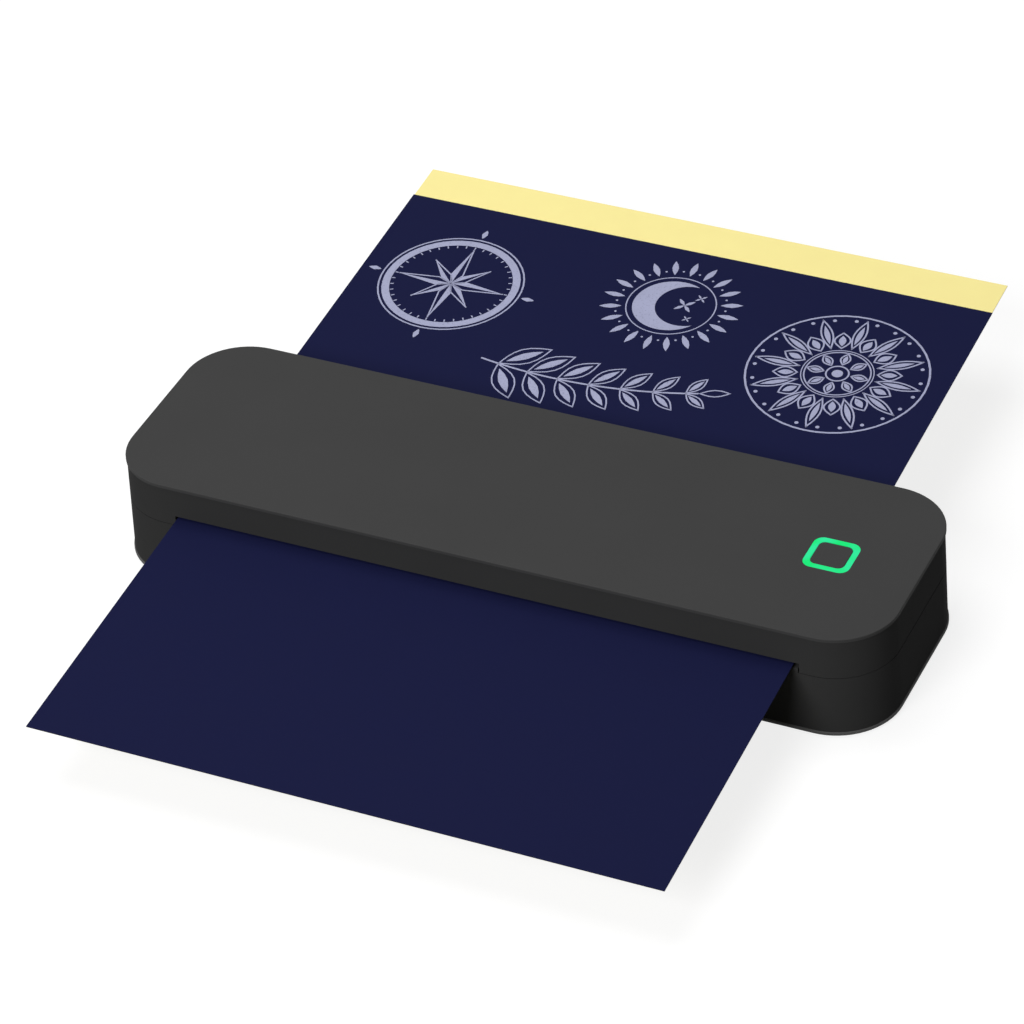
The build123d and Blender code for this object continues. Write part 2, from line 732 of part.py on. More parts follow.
def battery_cradle_part():
    span = 2 * cell_len + 4 * cell_fit + 3 * cradle_wall
    with BuildPart() as battery_cradle:
        with BuildSketch(Plane.XY.offset(shell_z)):
            with Locations((cradle_x + span / 2, cell_y)):
                RectangleRounded(span, cradle_w, 1)
        extrude(amount=cradle_h)
        for x in cell_xs:
            with BuildSketch(across(x - cell_len / 2 - cell_fit, (cell_y, cell_z))):
                Circle(cell_r + cell_fit)
            extrude(amount=cell_len + 2 * cell_fit, mode=Mode.SUBTRACT)
    return battery_cradle


def magnets_part(z):
    with BuildPart() as magnets:
        with BuildSketch(Plane.XY.offset(z)):
            with Locations(*front_bosses):
                Circle(magnet_r)
        extrude(amount=magnet_t)
    return magnets


# ---- gear train --------------------------------------------------------------------------------
def involute(angle):
    return tan(angle) - angle


def tooth_outline(teeth):
    """One tooth on the +X side of the open line: involute flanks between the root and tip circles."""
    pitch = pitch_r(teeth)
    base = pitch * cos(radians(pressure_angle))
    tip = pitch + addendum * module
    root = pitch - dedendum * module
    half_at_pitch = pi / (2 * teeth) - backlash / (4 * pitch)

    def flank(radius, side):
        roll = 0.0
        if radius > base:
            roll = involute(acos(base / radius))
        half = half_at_pitch + involute(radians(pressure_angle)) - roll
        return (radius * cos(half), side * radius * sin(half))

    start = max(base, root)
    middle = (start + tip) / 2
    inner = root * 0.9
    low = flank(start, -1)
    high = flank(start, 1)
    inner_low = (inner, low[1])
    inner_high = (inner, high[1])
    Polyline(inner_high, inner_low, low)
    ThreePointArc(low, flank(middle, -1), flank(tip, -1))
    ThreePointArc(flank(tip, -1), (tip, 0), flank(tip, 1))
    ThreePointArc(flank(tip, 1), flank(middle, 1), high)
    Line(high, inner_high)


def gear_face(teeth, phase):
    """The toothed disc, drawn into the open sketch, with a tooth at the phase angle in degrees."""
    with BuildSketch(mode=Mode.PRIVATE) as tooth:
        with BuildLine():
            tooth_outline(teeth)
        make_face()
    Circle(pitch_r(teeth) - dedendum * module)
    with PolarLocations(0, teeth, start_angle=phase):
        add(tooth.sketch)


def platen_gear_part():
    with BuildPart() as platen_gear:
        with BuildSketch(across(gear_x, platen_c)):
            gear_face(platen_teeth, idler_angle)
        extrude(amount=gear_w)
        with BuildSketch(across(gear_x - gear_hub, platen_c)):
            Circle(gear_hub_r)
        extrude(amount=gear_w + 2 * gear_hub)
        with BuildSketch(across(gear_x - gear_hub, platen_c)):
            Circle(shaft_r)
        extrude(amount=gear_w + 2 * gear_hub, mode=Mode.SUBTRACT)
    return platen_gear


def idler_gear_part():
    rim = pitch_r(idler_teeth) - (dedendum + idler_rim) * module
    hub = axle_r + idler_hub
    recess = (gear_w - idler_web) / 2
    with BuildPart() as idler_gear:
        with BuildSketch(across(gear_x, idler_c)):
            gear_face(idler_teeth, idler_phase)
        extrude(amount=gear_w)
        # web recessed from both sides, with round lightening holes
        for x in (gear_x, gear_x + gear_w - recess):
            with BuildSketch(across(x, idler_c)):
                Circle(rim)
                Circle(hub, mode=Mode.SUBTRACT)
            extrude(amount=recess, mode=Mode.SUBTRACT)
        with BuildSketch(across(gear_x, idler_c)):
            with PolarLocations((rim + hub) / 2, idler_holes):
                Circle((rim - hub) / 2 - 0.5)
        extrude(amount=gear_w, mode=Mode.SUBTRACT)
        with BuildSketch(across(gear_x - gear_hub, idler_c)):
            Circle(hub)
        extrude(amount=gear_w + gear_hub)
        with BuildSketch(across(gear_x - gear_hub, idler_c)):
            Circle(axle_r + axle_fit)
        extrude(amount=gear_w + gear_hub, mode=Mode.SUBTRACT)
    return idler_gear


def motor_pinion_part():
    with BuildPart() as motor_pinion:
        with BuildSketch(across(gear_x, motor_c)):
            gear_face(pinion_teeth, pinion_phase)
            Circle(motor_shaft_r, mode=Mode.SUBTRACT)
        extrude(amount=gear_w)
    return motor_pinion


def motor_shaft_part():
    start = side_x - motor_flange_t - motor_len + 3
    with BuildPart() as motor_shaft:
        with BuildSketch(across(start, motor_c)):
            Circle(motor_shaft_r)
        extrude(amount=gear_x + gear_w + 0.8 - start)
    return motor_shaft


# ---- platen ------------------------------------------------------------------------------------
def platen_shaft_part():
    core = side_x - bush_flange_t - 0.3
    with BuildPart() as platen_shaft:
        with BuildSketch(across(shaft_left, platen_c)):
            Circle(shaft_r)
        extrude(amount=shaft_right - shaft_left)
        with BuildSketch(across(-core, platen_c)):
            Circle(platen_core_r)
        extrude(amount=2 * core)
        for x in (clip_left, clip_right):
            with BuildSketch(across(x, platen_c)):
                Circle(shaft_r + clip_rim)
                Circle(shaft_r - clip_groove, mode=Mode.SUBTRACT)
            extrude(amount=clip_t, mode=Mode.SUBTRACT)
        chamfer(platen_shaft.faces().sort_by(Axis.X)[0].edges(), 0.3)
        chamfer(platen_shaft.faces().sort_by(Axis.X)[-1].edges(), 0.3)
    return platen_shaft


def platen_rubber_part():
    half = half_w + platen_out
    with BuildPart() as platen_rubber:
        with BuildSketch(across(-half, platen_c)):
            Circle(platen_r)
            Circle(platen_core_r, mode=Mode.SUBTRACT)
        extrude(amount=2 * half)
    return platen_rubber


def shaft_clips_part():
    with BuildPart() as shaft_clips:
        for x in (clip_left, clip_right):
            with BuildSketch(across(x, platen_c)):
                clip_outline(shaft_r, clip_groove)
            extrude(amount=clip_t)
    return shaft_clips


# ---- sheet -------------------------------------------------------------------------------------
def transfer_sheet_part():
    with BuildPart() as transfer_sheet:
        with BuildSketch(sheet_plane(0, ply_t)):
            with Locations((sheet_x, carbon_len / 2 - sheet_reach)):
                Rectangle(sheet_w, carbon_len)
        extrude(amount=ply_t)
    return transfer_sheet


def backing_sheet_part():
    with BuildPart() as backing_sheet:
        with BuildSketch(sheet_plane(0, sheet_t)):
            with Locations((sheet_x, sheet_len / 2 - sheet_reach + backing_inset / 2)):
                Rectangle(sheet_w - 2 * backing_inset, sheet_len - backing_inset)
        extrude(amount=ply_t)
    return backing_sheet


# ---- cover -------------------------------------------------------------------------------------
def top_cover_part():
    front_notch_z = sheet_z(-depth / 2) + slot_above
    rear_notch_z = sheet_z(depth / 2) + rear_slot_above
    notch_rear_half = ear_out + side_fit
    with BuildPart() as top_cover:
        with BuildSketch(Plane.XY.offset(cover_z)):
            outline(cover_z)
        extrude(amount=panel_z - cover_z, taper=draft)
        with BuildSketch(Plane.XY.offset(cover_z)):
            outline(cover_z, wall)
        extrude(amount=roof_z - cover_z, taper=draft, mode=Mode.SUBTRACT)
        # front and rear slots
        with BuildSketch(Plane.XY.offset(cover_z)):
            with Locations((0, -depth / 2)):
                Rectangle(2 * notch_half, depth / 3)
        extrude(amount=front_notch_z - cover_z, mode=Mode.SUBTRACT)
        with BuildSketch(Plane.XY.offset(cover_z)):
            with Locations((0, depth / 2)):
                Rectangle(2 * notch_rear_half, depth / 3)
        extrude(amount=rear_notch_z - cover_z, mode=Mode.SUBTRACT)
        # knuckles either side of each ear, then the cuts that the ears stand in
        for side in (-1, 1):
            inner = side * (ear_in - side_fit)
            outer = side * (ear_out + side_fit)
            for x in (min(inner, inner - side * knuckle_w), min(outer, outer + side * knuckle_w)):
                with BuildSketch(across(x, (hinge_y, hinge_z))):
                    Circle(ear_r)
                    with Locations((0, (roof_z - hinge_z + 0.5) / 2)):
                        Rectangle(2 * ear_r, roof_z - hinge_z + 0.5)
                extrude(amount=knuckle_w)
            with BuildSketch(Plane.XY.offset(cover_z)):
                with Locations((side * hinge_x, depth / 2)):
                    Rectangle(ear_w + 2 * side_fit, 2 * (hinge_inset + ear_r + side_fit + 0.6))
            extrude(amount=height, mode=Mode.SUBTRACT)
            start = ear_in - side_fit - knuckle_w
            with BuildSketch(across(start if side > 0 else -start - pin_len, (hinge_y, hinge_z))):
                Circle(pin_r)
            extrude(amount=pin_len, mode=Mode.SUBTRACT)
        # magnet posts over the front bosses
        with BuildSketch(Plane.XY.offset(seam_z + magnet_gap)):
            with Locations(*front_bosses):
                Circle(boss_r)
        extrude(amount=roof_z - seam_z - magnet_gap)
        with BuildSketch(Plane.XY.offset(seam_z + magnet_gap)):
            with Locations(*front_bosses):
                Circle(magnet_r)
        extrude(amount=magnet_t, mode=Mode.SUBTRACT)
        # rebate round the rim for the base's tongue
        with BuildSketch(Plane.XY.offset(cover_z)):
            outline(cover_z, wall - tongue_t - tongue_fit)
            outline(cover_z, wall + tongue_fit, Mode.SUBTRACT)
        extrude(amount=tongue_h, mode=Mode.SUBTRACT)
        # posts of the upper guide and the switch board
        plane = sheet_plane(0, -guide_stack)
        for spot in guide_posts:
            room = roof_z - plane.from_local_coords((spot[0], spot[1], 0)).Z
            with BuildSketch(plane):
                with Locations(spot):
                    Circle(post_r)
            extrude(amount=room + roof_t / 2)
            with BuildSketch(plane):
                with Locations(spot):
                    Circle(screw_r)
            extrude(amount=room - 0.4, mode=Mode.SUBTRACT)
        with BuildSketch(Plane.XY.offset(switch_z + switch_board_t)):
            with Locations(*switch_holes):
                Circle(switch_post_r)
        extrude(amount=roof_z - switch_z - switch_board_t)
        with BuildSketch(Plane.XY.offset(switch_z + switch_board_t)):
            with Locations(*switch_holes):
                Circle(switch_screw_r)
        extrude(amount=roof_z - switch_z - switch_board_t - 0.3, mode=Mode.SUBTRACT)
        with BuildSketch(Plane.XY.offset(roof_z)):
            with Locations((button_x, 0)):
                RectangleRounded(ring_size + 0.1, ring_size + 0.1, ring_corner)
        extrude(amount=height, mode=Mode.SUBTRACT)
        # screw holes of the head brackets
        with BuildSketch(Plane.XY.offset(roof_z)):
            with Locations(*bracket_spots):
                Circle(screw_r)
        extrude(amount=roof_t * 0.7, mode=Mode.SUBTRACT)
    return top_cover


def hinge_pins_part():
    start = ear_in - side_fit - knuckle_w
    with BuildPart() as hinge_pins:
        for x in (start, -start - pin_len):
            with BuildSketch(across(x, (hinge_y, hinge_z))):
                Circle(pin_r)
            extrude(amount=pin_len)
    return hinge_pins


def top_panel_part():
    with BuildPart() as top_panel:
        with BuildSketch(Plane.XY.offset(panel_z)):
            RectangleRounded(length, depth, corner_r)
        extrude(amount=panel_t)
        fillet(top_panel.faces().sort_by(Axis.Z)[-1].edges(), panel_edge)
        with BuildSketch(Plane.XY.offset(panel_z)):
            with Locations((button_x, 0)):
                RectangleRounded(ring_size + 0.1, ring_size + 0.1, ring_corner)
        extrude(amount=panel_t, mode=Mode.SUBTRACT)
    return top_panel


def light_ring_part():
    inside = ring_size - 2 * ring_w
    with BuildPart() as light_ring:
        with BuildSketch(Plane.XY.offset(roof_z - ring_flange_t)):
            with Locations((button_x, 0)):
                RectangleRounded(ring_size + 2 * ring_flange, ring_size + 2 * ring_flange, ring_corner)
        extrude(amount=ring_flange_t)
        with BuildSketch(Plane.XY.offset(roof_z)):
            with Locations((button_x, 0)):
                RectangleRounded(ring_size, ring_size, ring_corner)
        extrude(amount=height - roof_z)
        with BuildSketch(Plane.XY.offset(roof_z - ring_flange_t)):
            with Locations((button_x, 0)):
                RectangleRounded(inside, inside, ring_corner - ring_w / 2)
        extrude(amount=height, mode=Mode.SUBTRACT)
        wide = inside + 2 * button_flange
        with BuildSketch(Plane.XY.offset(roof_z - ring_flange_t)):
            with Locations((button_x, 0)):
                RectangleRounded(wide, wide, ring_corner - ring_w / 2)
        extrude(amount=height - button_step - roof_z + ring_flange_t, mode=Mode.SUBTRACT)
    return light_ring


def power_button_part():
    cap = ring_size - 2 * ring_w - 2 * button_fit
    flange = cap + 2 * button_flange
    flange_top = height - button_step - 0.02
    cap_bottom = roof_z + 0.2
    stem_bottom = switch_z + switch_board_t + switch_t + nub_h + 0.05
    with BuildPart() as power_button:
        with BuildSketch(Plane.XY.offset(cap_bottom)):
            with Locations((button_x, 0)):
                RectangleRounded(cap, cap, ring_corner - ring_w / 2 - button_fit)
        extrude(amount=height - cap_bottom)
        fillet(power_button.faces().sort_by(Axis.Z)[-1].edges(), 0.2)
        with BuildSketch(Plane.XY.offset(cap_bottom)):
            with Locations((button_x, 0)):
                RectangleRounded(flange, flange, ring_corner - ring_w / 2 - button_fit)
        extrude(amount=flange_top - cap_bottom)
        with BuildSketch(Plane.XY.offset(stem_bottom)):
            with Locations((button_x, 0)):
                Circle(stem_r)
        extrude(amount=cap_bottom - stem_bottom)
    return power_button


def switch_board_part():
    with BuildPart() as switch_board:
        with BuildSketch(Plane.XY.offset(switch_z)):
            with Locations((button_x, 0)):
                RectangleRounded(switch_board_l, switch_board_w, 1)
            with Locations(*switch_holes):
                Circle(switch_screw_r + screw_fit, mode=Mode.SUBTRACT)
        extrude(amount=switch_board_t)
    return switch_board


def tact_switch_part():
    top = switch_z + switch_board_t
    with BuildPart() as tact_switch:
        with BuildSketch(Plane.XY.offset(top)):
            with Locations((button_x, 0)):
                Rectangle(switch_size, switch_size)
        extrude(amount=switch_t)
        with BuildSketch(Plane.XY.offset(top + switch_t)):
            with Locations((button_x, 0)):
                Circle(nub_r)
        extrude(amount=nub_h - button_travel)
    return tact_switch


def ring_leds_part():
    reach = (ring_size - ring_w) / 2
    with BuildPart() as ring_leds:
        with BuildSketch(Plane.XY.offset(switch_z + switch_board_t)):
            with Locations((button_x - reach, 0), (button_x + reach, 0)):
                Rectangle(1.2, 2.0)
            with Locations((button_x, -reach), (button_x, reach)):
                Rectangle(2.0, 1.2)
        extrude(amount=0.7)
    return ring_leds


def upper_guide_part():
    half = half_w + guide_out
    middle = (guide_front + guide_back) / 2
    span = guide_back - guide_front
    with BuildPart() as upper_guide:
        with BuildSketch(sheet_plane(0, -guide_gap - rib_h)):
            with Locations((0, middle)):
                Rectangle(2 * half, span)
            with Locations(*guide_posts):
                Circle(screw_r + 0.1, mode=Mode.SUBTRACT)
        extrude(amount=guide_t)
        with BuildSketch(sheet_plane(0, -guide_gap - rib_h)):
            with Locations((0, middle)):
                with GridLocations(rib_pitch, 1, rib_count, 1):
                    Rectangle(rib_w, span - 2)
        extrude(amount=-rib_h)
        with BuildSketch(sheet_plane(0, -guide_gap)):
            with Locations(*guide_posts):
                Circle(screw_head_r + screw_fit)
        extrude(amount=rib_h + guide_t - post_floor, mode=Mode.SUBTRACT)
    return upper_guide


# ---- print head --------------------------------------------------------------------------------
def print_head_part():
    half = half_w + head_out
    with BuildPart() as print_head:
        with BuildSketch(path_section(-half, nip_y, -nip_gap)):
            with BuildLine():
                Polyline(
                    (glaze_w / 2, glaze_h), (ceramic_back, glaze_h), (ceramic_back, glaze_h + ceramic_t),
                    (-ceramic_front, glaze_h + ceramic_t), (-ceramic_front, glaze_h), (-glaze_w / 2, glaze_h),
                )
                ThreePointArc((-glaze_w / 2, glaze_h), (0, 0), (glaze_w / 2, glaze_h))
            make_face()
        extrude(amount=2 * half)
    return print_head


def heat_sink_part():
    half = half_w + head_out
    low = glaze_h + ceramic_t
    pivot = (-head_pivot_ahead, head_pivot_up - nip_gap)
    with BuildPart() as heat_sink:
        with BuildSketch(path_section(-half, nip_y, -nip_gap)):
            with Locations(((sink_back - head_pivot_ahead) / 2, low + sink_t / 2)):
                Rectangle(sink_back + head_pivot_ahead, sink_t)
            with Locations(pivot):
                Circle(head_hub_r)
            with Locations((-head_pivot_ahead - head_hub_r / 2, (low + pivot[1]) / 2)):
                Rectangle(head_hub_r, pivot[1] - low)
            fin_top = low + sink_t + fin_h / 2
            fins = [-spring_channel / 2 - fin_w / 2 - i * fin_pitch for i in (0, 1, 2)]
            fins += [spring_channel / 2 + fin_w / 2 + i * fin_pitch for i in (0, 1)]
            with Locations(*[(v, fin_top) for v in fins]):
                Rectangle(fin_w, fin_h)
        extrude(amount=2 * half)
        for x in (half - head_pin_len / 2, -half - 1):
            with BuildSketch(across(x, head_pivot_c)):
                Circle(head_pin_r)
            extrude(amount=head_pin_len / 2 + 1, mode=Mode.SUBTRACT)
    return heat_sink


def head_pins_part():
    half = half_w + head_out
    with BuildPart() as head_pins:
        for x in (half - head_pin_len / 2, -half - head_pin_len / 2):
            with BuildSketch(across(x, head_pivot_c)):
                Circle(head_pin_r)
            extrude(amount=head_pin_len)
    return head_pins


def head_connector_part():
    low = glaze_h + ceramic_t
    with BuildPart() as head_connector:
        with BuildSketch(path_section(-15, nip_y, -nip_gap)):
            with Locations((ceramic_back - 1.4, low + 1.0)):
                Rectangle(2.4, 2.0)
            with Locations((ceramic_back - 0.6, low + 1.0)):
                Rectangle(0.9, 0.6, mode=Mode.SUBTRACT)
        extrude(amount=30)
    return head_connector


def head_brackets_part():
    width = 2 * (head_hub_r + 0.6)
    with BuildPart() as head_brackets:
        for side in (-1, 1):
            low_x = min(side * bracket_in, side * (bracket_in + bracket_t))
            with BuildSketch(across(low_x, head_pivot_c)):
                Circle(width / 2)
                with Locations((0, (roof_z - head_pivot_c[1]) / 2)):
                    Rectangle(width, roof_z - head_pivot_c[1])
            extrude(amount=bracket_t)
            with BuildSketch(across(low_x, head_pivot_c)):
                Circle(head_pin_r + axle_fit)
            extrude(amount=bracket_t, mode=Mode.SUBTRACT)
            foot_mid = side * (bracket_in + (bracket_t + bracket_foot) / 2)
            with BuildSketch(Plane.XY.offset(roof_z - bracket_foot_t)):
                with Locations((foot_mid, head_pivot_c[0])):
                    Rectangle(bracket_t + bracket_foot, width)
            extrude(amount=bracket_foot_t)
        with BuildSketch(Plane.XY.offset(roof_z - bracket_foot_t)):
            with Locations(*bracket_spots):
                Circle(screw_r + screw_fit)
        extrude(amount=bracket_foot_t, mode=Mode.SUBTRACT)
    return head_brackets


def head_springs_part():
    low = nip_gap + glaze_h + ceramic_t + sink_t
    seat = sheet_plane(nip_y, -low)
    room = roof_z - seat.origin.Z - spring_r * sheet_slope - 0.1
    rise = room - 2 * spring_wire_r
    with BuildPart() as head_springs:
        for x in spring_xs:
            start = seat.from_local_coords((x, 0, spring_wire_r + 0.03))
            with BuildLine(Plane(origin=start, x_dir=(1, 0, 0), z_dir=seat.z_dir)):
                coil = Helix(pitch=rise / spring_turns, height=rise, radius=spring_r)
            with BuildSketch(Plane(origin=coil @ 0, z_dir=coil % 0)):
                Circle(spring_wire_r)
            sweep(path=coil, is_frenet=True)
    return head_springs


pieces = {
    "base_shell": base_shell_part(),
    "bottom_plate": bottom_plate_part(),
    "rubber_feet": rubber_feet_part(),
    "base_screws": screws(
        Plane.XY.offset(foot_proud + foot_pocket).rotated((180, 0, 0)),
        [(x, -y) for x, y in front_bosses + rear_bosses], screw_head_r, foot_pocket, screw_r,
        base_screw_len,
    ),
    "board_screws": screws(
        Plane.XY.offset(board_z + board_t), board_holes, screw_head_r, screw_head_t, screw_r,
        board_t + 2.6,
    ),
    "charge_screws": screws(
        Plane.XY.offset(charge_z + charge_t), charge_holes, screw_head_r, screw_head_t, screw_r,
        charge_t + 2.6,
    ),
    "side_plate_left": side_plate_part(-1),
    "side_plate_right": side_plate_part(1),
    "plate_screws": screws(
        Plane.XY.offset(shell_z + tab_t), tab_spots,
        screw_head_r, screw_head_t, screw_r, tab_t + 0.9,
    ),
    "bush_left": bush_part(-1),
    "bush_right": bush_part(1),
    "stepper_motor": stepper_motor_part(),
    "motor_screws": screws(
        across(side_x + side_t), motor_ears, screw_head_r - 0.2, 0.9, screw_r, side_t + motor_flange_t + 0.6,
    ),
    "idler_axle": idler_axle_part(),
    "idler_clip": idler_clip_part(),
    "lower_guide": lower_guide_part(),
    "guide_screws_lower": screws(
        sheet_plane(0, deck_stack + deck_t - post_floor), tab_spots,
        screw_head_r, deck_t - post_floor - 0.1, screw_r, post_floor + tab_t + 0.8,
    ),
    "paper_sensors": paper_sensors_part(),
    "main_board": main_board_part(),
    "board_parts": board_parts_part(),
    "charge_board": charge_board_part(),
    "usb_socket": usb_socket_part(),
    "battery_cells": battery_cells_part(),
    "battery_cradle": battery_cradle_part(),
    "base_magnets": magnets_part(seam_z - magnet_t),
    "platen_shaft": platen_shaft_part(),
    "platen_rubber": platen_rubber_part(),
    "platen_gear": platen_gear_part(),
    "shaft_clips": shaft_clips_part(),
    "idler_gear": idler_gear_part(),
    "motor_shaft": motor_shaft_part(),
    "motor_pinion": motor_pinion_part(),
    "transfer_sheet": transfer_sheet_part(),
    "backing_sheet": backing_sheet_part(),
    "top_cover": top_cover_part(),
    "top_panel": top_panel_part(),
    "hinge_pins": hinge_pins_part(),
    "cover_magnets": magnets_part(seam_z + magnet_gap),
    "light_ring": light_ring_part(),
    "switch_board": switch_board_part(),
    "tact_switch": tact_switch_part(),
    "ring_leds": ring_leds_part(),
    "switch_screws": screws(
        Plane.XY.offset(switch_z).rotated((180, 0, 0)), [(x, -y) for x, y in switch_holes],
        1.3, 0.5, switch_screw_r, switch_board_t + 1.6,
    ),
    "upper_guide": upper_guide_part(),
    "guide_screws_upper": screws(
        sheet_plane(0, post_floor - guide_stack).rotated((180, 0, 0)), [(x, -y) for x, y in guide_posts],
        screw_head_r, guide_t - post_floor, screw_r, post_floor + 1.4,
    ),
    "head_brackets": head_brackets_part(),
    "bracket_screws": screws(
        Plane.XY.offset(roof_z - bracket_foot_t).rotated((180, 0, 0)), [(x, -y) for x, y in bracket_spots],
        screw_head_r, screw_head_t, screw_r, bracket_foot_t + 1.0,
    ),
    "head_springs": head_springs_part(),
    "print_head": print_head_part(),
    "heat_sink": heat_sink_part(),
    "head_pins": head_pins_part(),
    "head_connector": head_connector_part(),
    "power_button": power_button_part(),
}

os.makedirs("parts", exist_ok=True)
for name, piece in pieces.items():
    piece.part.label = name
    export_step(piece.part, f"parts/{name}.step")

print("platen axis y, z:", platen_c)
print("idler axis y, z:", idler_c)
print("motor axis y, z:", motor_c)
print("head pivot y, z:", head_pivot_c)
print("hinge axis y, z:", (hinge_y, hinge_z))
print("sheet tilt, degrees:", degrees(tilt))
print("pieces:", len(pieces))
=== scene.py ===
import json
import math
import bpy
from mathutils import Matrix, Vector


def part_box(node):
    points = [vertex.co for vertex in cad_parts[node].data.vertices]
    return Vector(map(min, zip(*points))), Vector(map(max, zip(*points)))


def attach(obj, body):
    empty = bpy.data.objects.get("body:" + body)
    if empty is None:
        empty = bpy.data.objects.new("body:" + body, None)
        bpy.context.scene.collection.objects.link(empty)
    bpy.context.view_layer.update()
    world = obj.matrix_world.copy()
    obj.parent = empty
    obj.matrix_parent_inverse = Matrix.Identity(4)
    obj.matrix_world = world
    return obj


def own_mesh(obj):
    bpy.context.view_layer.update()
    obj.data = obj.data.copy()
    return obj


bl_info = {
    "name": "Thermal Stencil Copier",
    "version": (1, 0, 0),
    "blender": (4, 5, 0),
    "location": "View3D > Sidebar > Stencil Copier",
    "description": "Finishes a portable thermal stencil copier with a printed sheet, and sets its studio",
    "category": "Object",
}

import bmesh
import bpy
from bpy.props import FloatProperty, FloatVectorProperty, PointerProperty
from mathutils import Matrix, Vector

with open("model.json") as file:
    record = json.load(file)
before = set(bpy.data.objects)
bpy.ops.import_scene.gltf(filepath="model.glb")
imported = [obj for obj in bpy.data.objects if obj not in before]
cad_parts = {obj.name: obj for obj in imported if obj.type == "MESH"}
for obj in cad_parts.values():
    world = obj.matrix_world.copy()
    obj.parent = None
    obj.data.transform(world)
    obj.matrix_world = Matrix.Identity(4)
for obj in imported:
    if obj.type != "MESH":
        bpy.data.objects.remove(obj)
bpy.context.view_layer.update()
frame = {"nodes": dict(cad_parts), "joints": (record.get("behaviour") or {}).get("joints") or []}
NODES = frame["nodes"]
JOINTS = {joint["name"]: joint for joint in frame["joints"]}
MM = 0.001

HEATER_BACK = 13.5 * MM   # the heating line, behind the head's pivot
HEATER_WIDTH = 0.9 * MM

# printed figures, in millimetres on the sheet
ROSETTE = ((68, 95), 31)  # middle and reach
COMPASS = ((-72, 99), 29)
MOON = ((3, 111), 25)
SPRIG = ((-46, 66), -10, 76)  # foot, angle in degrees and length

# studio
TOP_LAMP = ((-0.4, 0.1, 1.3), 0.9)  # place and width, in metres
FRONT_LAMP = ((-0.25, -1.75, 1.25), 1.0)
FLOOR_TONES = (0.24, 0.26)  # the floor's darkest and lightest grey
FLOOR_DUST = 6.0          # patches of dust to a metre
FLOOR_WHITE = 0.82        # what the floor shows of its own, so that it is white outside the shadow
SENSOR_WIDTH = 36.0       # millimetres, as Blender wants it


# ---- shared helpers ------------------------------------------------------------------------------
def linear(hex_code):
    """An sRGB hex value as linear red, green and blue."""
    out = []
    for i in (1, 3, 5):
        s = int(hex_code[i:i + 2], 16) / 255
        out.append(s / 12.92 if s <= 0.04045 else ((s + 0.055) / 1.055) ** 2.4)
    return tuple(out)


def add(tree, kind, settings=None, links=None):
    """Adds one node with its settings, which are attributes or inputs, and its incoming links."""
    made = tree.nodes.new(kind)
    for key, value in (settings or {}).items():
        if isinstance(key, str) and hasattr(made, key):
            setattr(made, key, value)
        else:
            made.inputs[key].default_value = value
    for key, source in (links or {}).items():
        tree.links.new(source, made.inputs[key])
    return made


def new_material(name):
    """An empty node material and its tree."""
    made = bpy.data.materials.new(name)
    made.use_nodes = True
    made.node_tree.nodes.clear()
    return made, made.node_tree


def finish_tree(tree, shader):
    """Joins the finished shader to the material's output."""
    add(tree, "ShaderNodeOutputMaterial", None, {"Surface": shader.outputs[0]})


def seen_rays(tree):
    """One for rays from the camera, off gloss or through glass, and zero for rays that light the copier."""
    path = add(tree, "ShaderNodeLightPath")
    first = add(
        tree, "ShaderNodeMath", {"operation": "MAXIMUM"},
        {0: path.outputs["Is Camera Ray"], 1: path.outputs["Is Glossy Ray"]})
    return add(
        tree, "ShaderNodeMath", {"operation": "MAXIMUM"},
        {0: first.outputs[0], 1: path.outputs["Is Transmission Ray"]}).outputs[0]


def rgba(colour, factor=1.0):
    """A linear colour with alpha, made darker or lighter by a factor."""
    return tuple(min(1.0, c * factor) for c in colour[:3]) + (1.0,)


def dress(material, *names):
    """Gives CAD nodes a material."""
    for name in names:
        mesh = NODES[name].data
        mesh.materials.clear()
        mesh.materials.append(material)


# ---- sizes and colours that a user would change -----------------------------------------------------
class CasingLooks(bpy.types.PropertyGroup):
    casing: FloatVectorProperty(
        name="Casing", description="Moulded ABS of the cover and the base",
        subtype="COLOR", size=3, min=0, max=1, default=linear("#353535"))
    panel: FloatVectorProperty(
        name="Top panel", description="Satin panel on the cover, and the power button",
        subtype="COLOR", size=3, min=0, max=1, default=linear("#3C3C3C"))
    # The plate's grey is lighter than the casing's, a painted highlight along the rim of the plate
    plate: FloatVectorProperty(
        name="Bottom plate", description="Moulded ABS of the plate that closes the base",
        subtype="COLOR", size=3, min=0, max=1, default=linear("#4A4A4A"))
    ring: FloatVectorProperty(
        name="Light ring", description="Lit ring round the power button",
        subtype="COLOR", size=3, min=0, max=1, default=linear("#00F07C"))
    ring_glow: FloatProperty(
        name="Ring glow", description="Strength of the light that the ring gives",
        min=0, max=5, default=0.55)
    grit: FloatProperty(
        name="Mould grit", description="Size of the grain on the casing, drawn coarse enough to show",
        subtype="DISTANCE", unit="LENGTH", min=0.0001, max=0.005, default=0.0005)


class SheetLooks(bpy.types.PropertyGroup):
    carbon: FloatVectorProperty(
        name="Carbon ply", description="Waxy navy coating of the transfer sheet",
        subtype="COLOR", size=3, min=0, max=1, default=linear("#16193A"))
    backing: FloatVectorProperty(
        name="Backing", description="Pale backing that shows past the carbon ply",
        subtype="COLOR", size=3, min=0, max=1, default=linear("#FFF0A1"))
    ink: FloatVectorProperty(
        name="Printed line", description="Lines that the head has burnt into the carbon ply",
        subtype="COLOR", size=3, min=0, max=1, default=linear("#A6A9C6"))
    line: FloatProperty(
        name="Line width", description="Width of the heavier printed lines",
        subtype="DISTANCE", unit="LENGTH", min=0.0001, max=0.003, default=0.0007)
    relief: FloatProperty(
        name="Line relief", description="How far a printed line stands on the sheet",
        subtype="DISTANCE", unit="LENGTH", min=0.000005, max=0.00004, default=0.00002)


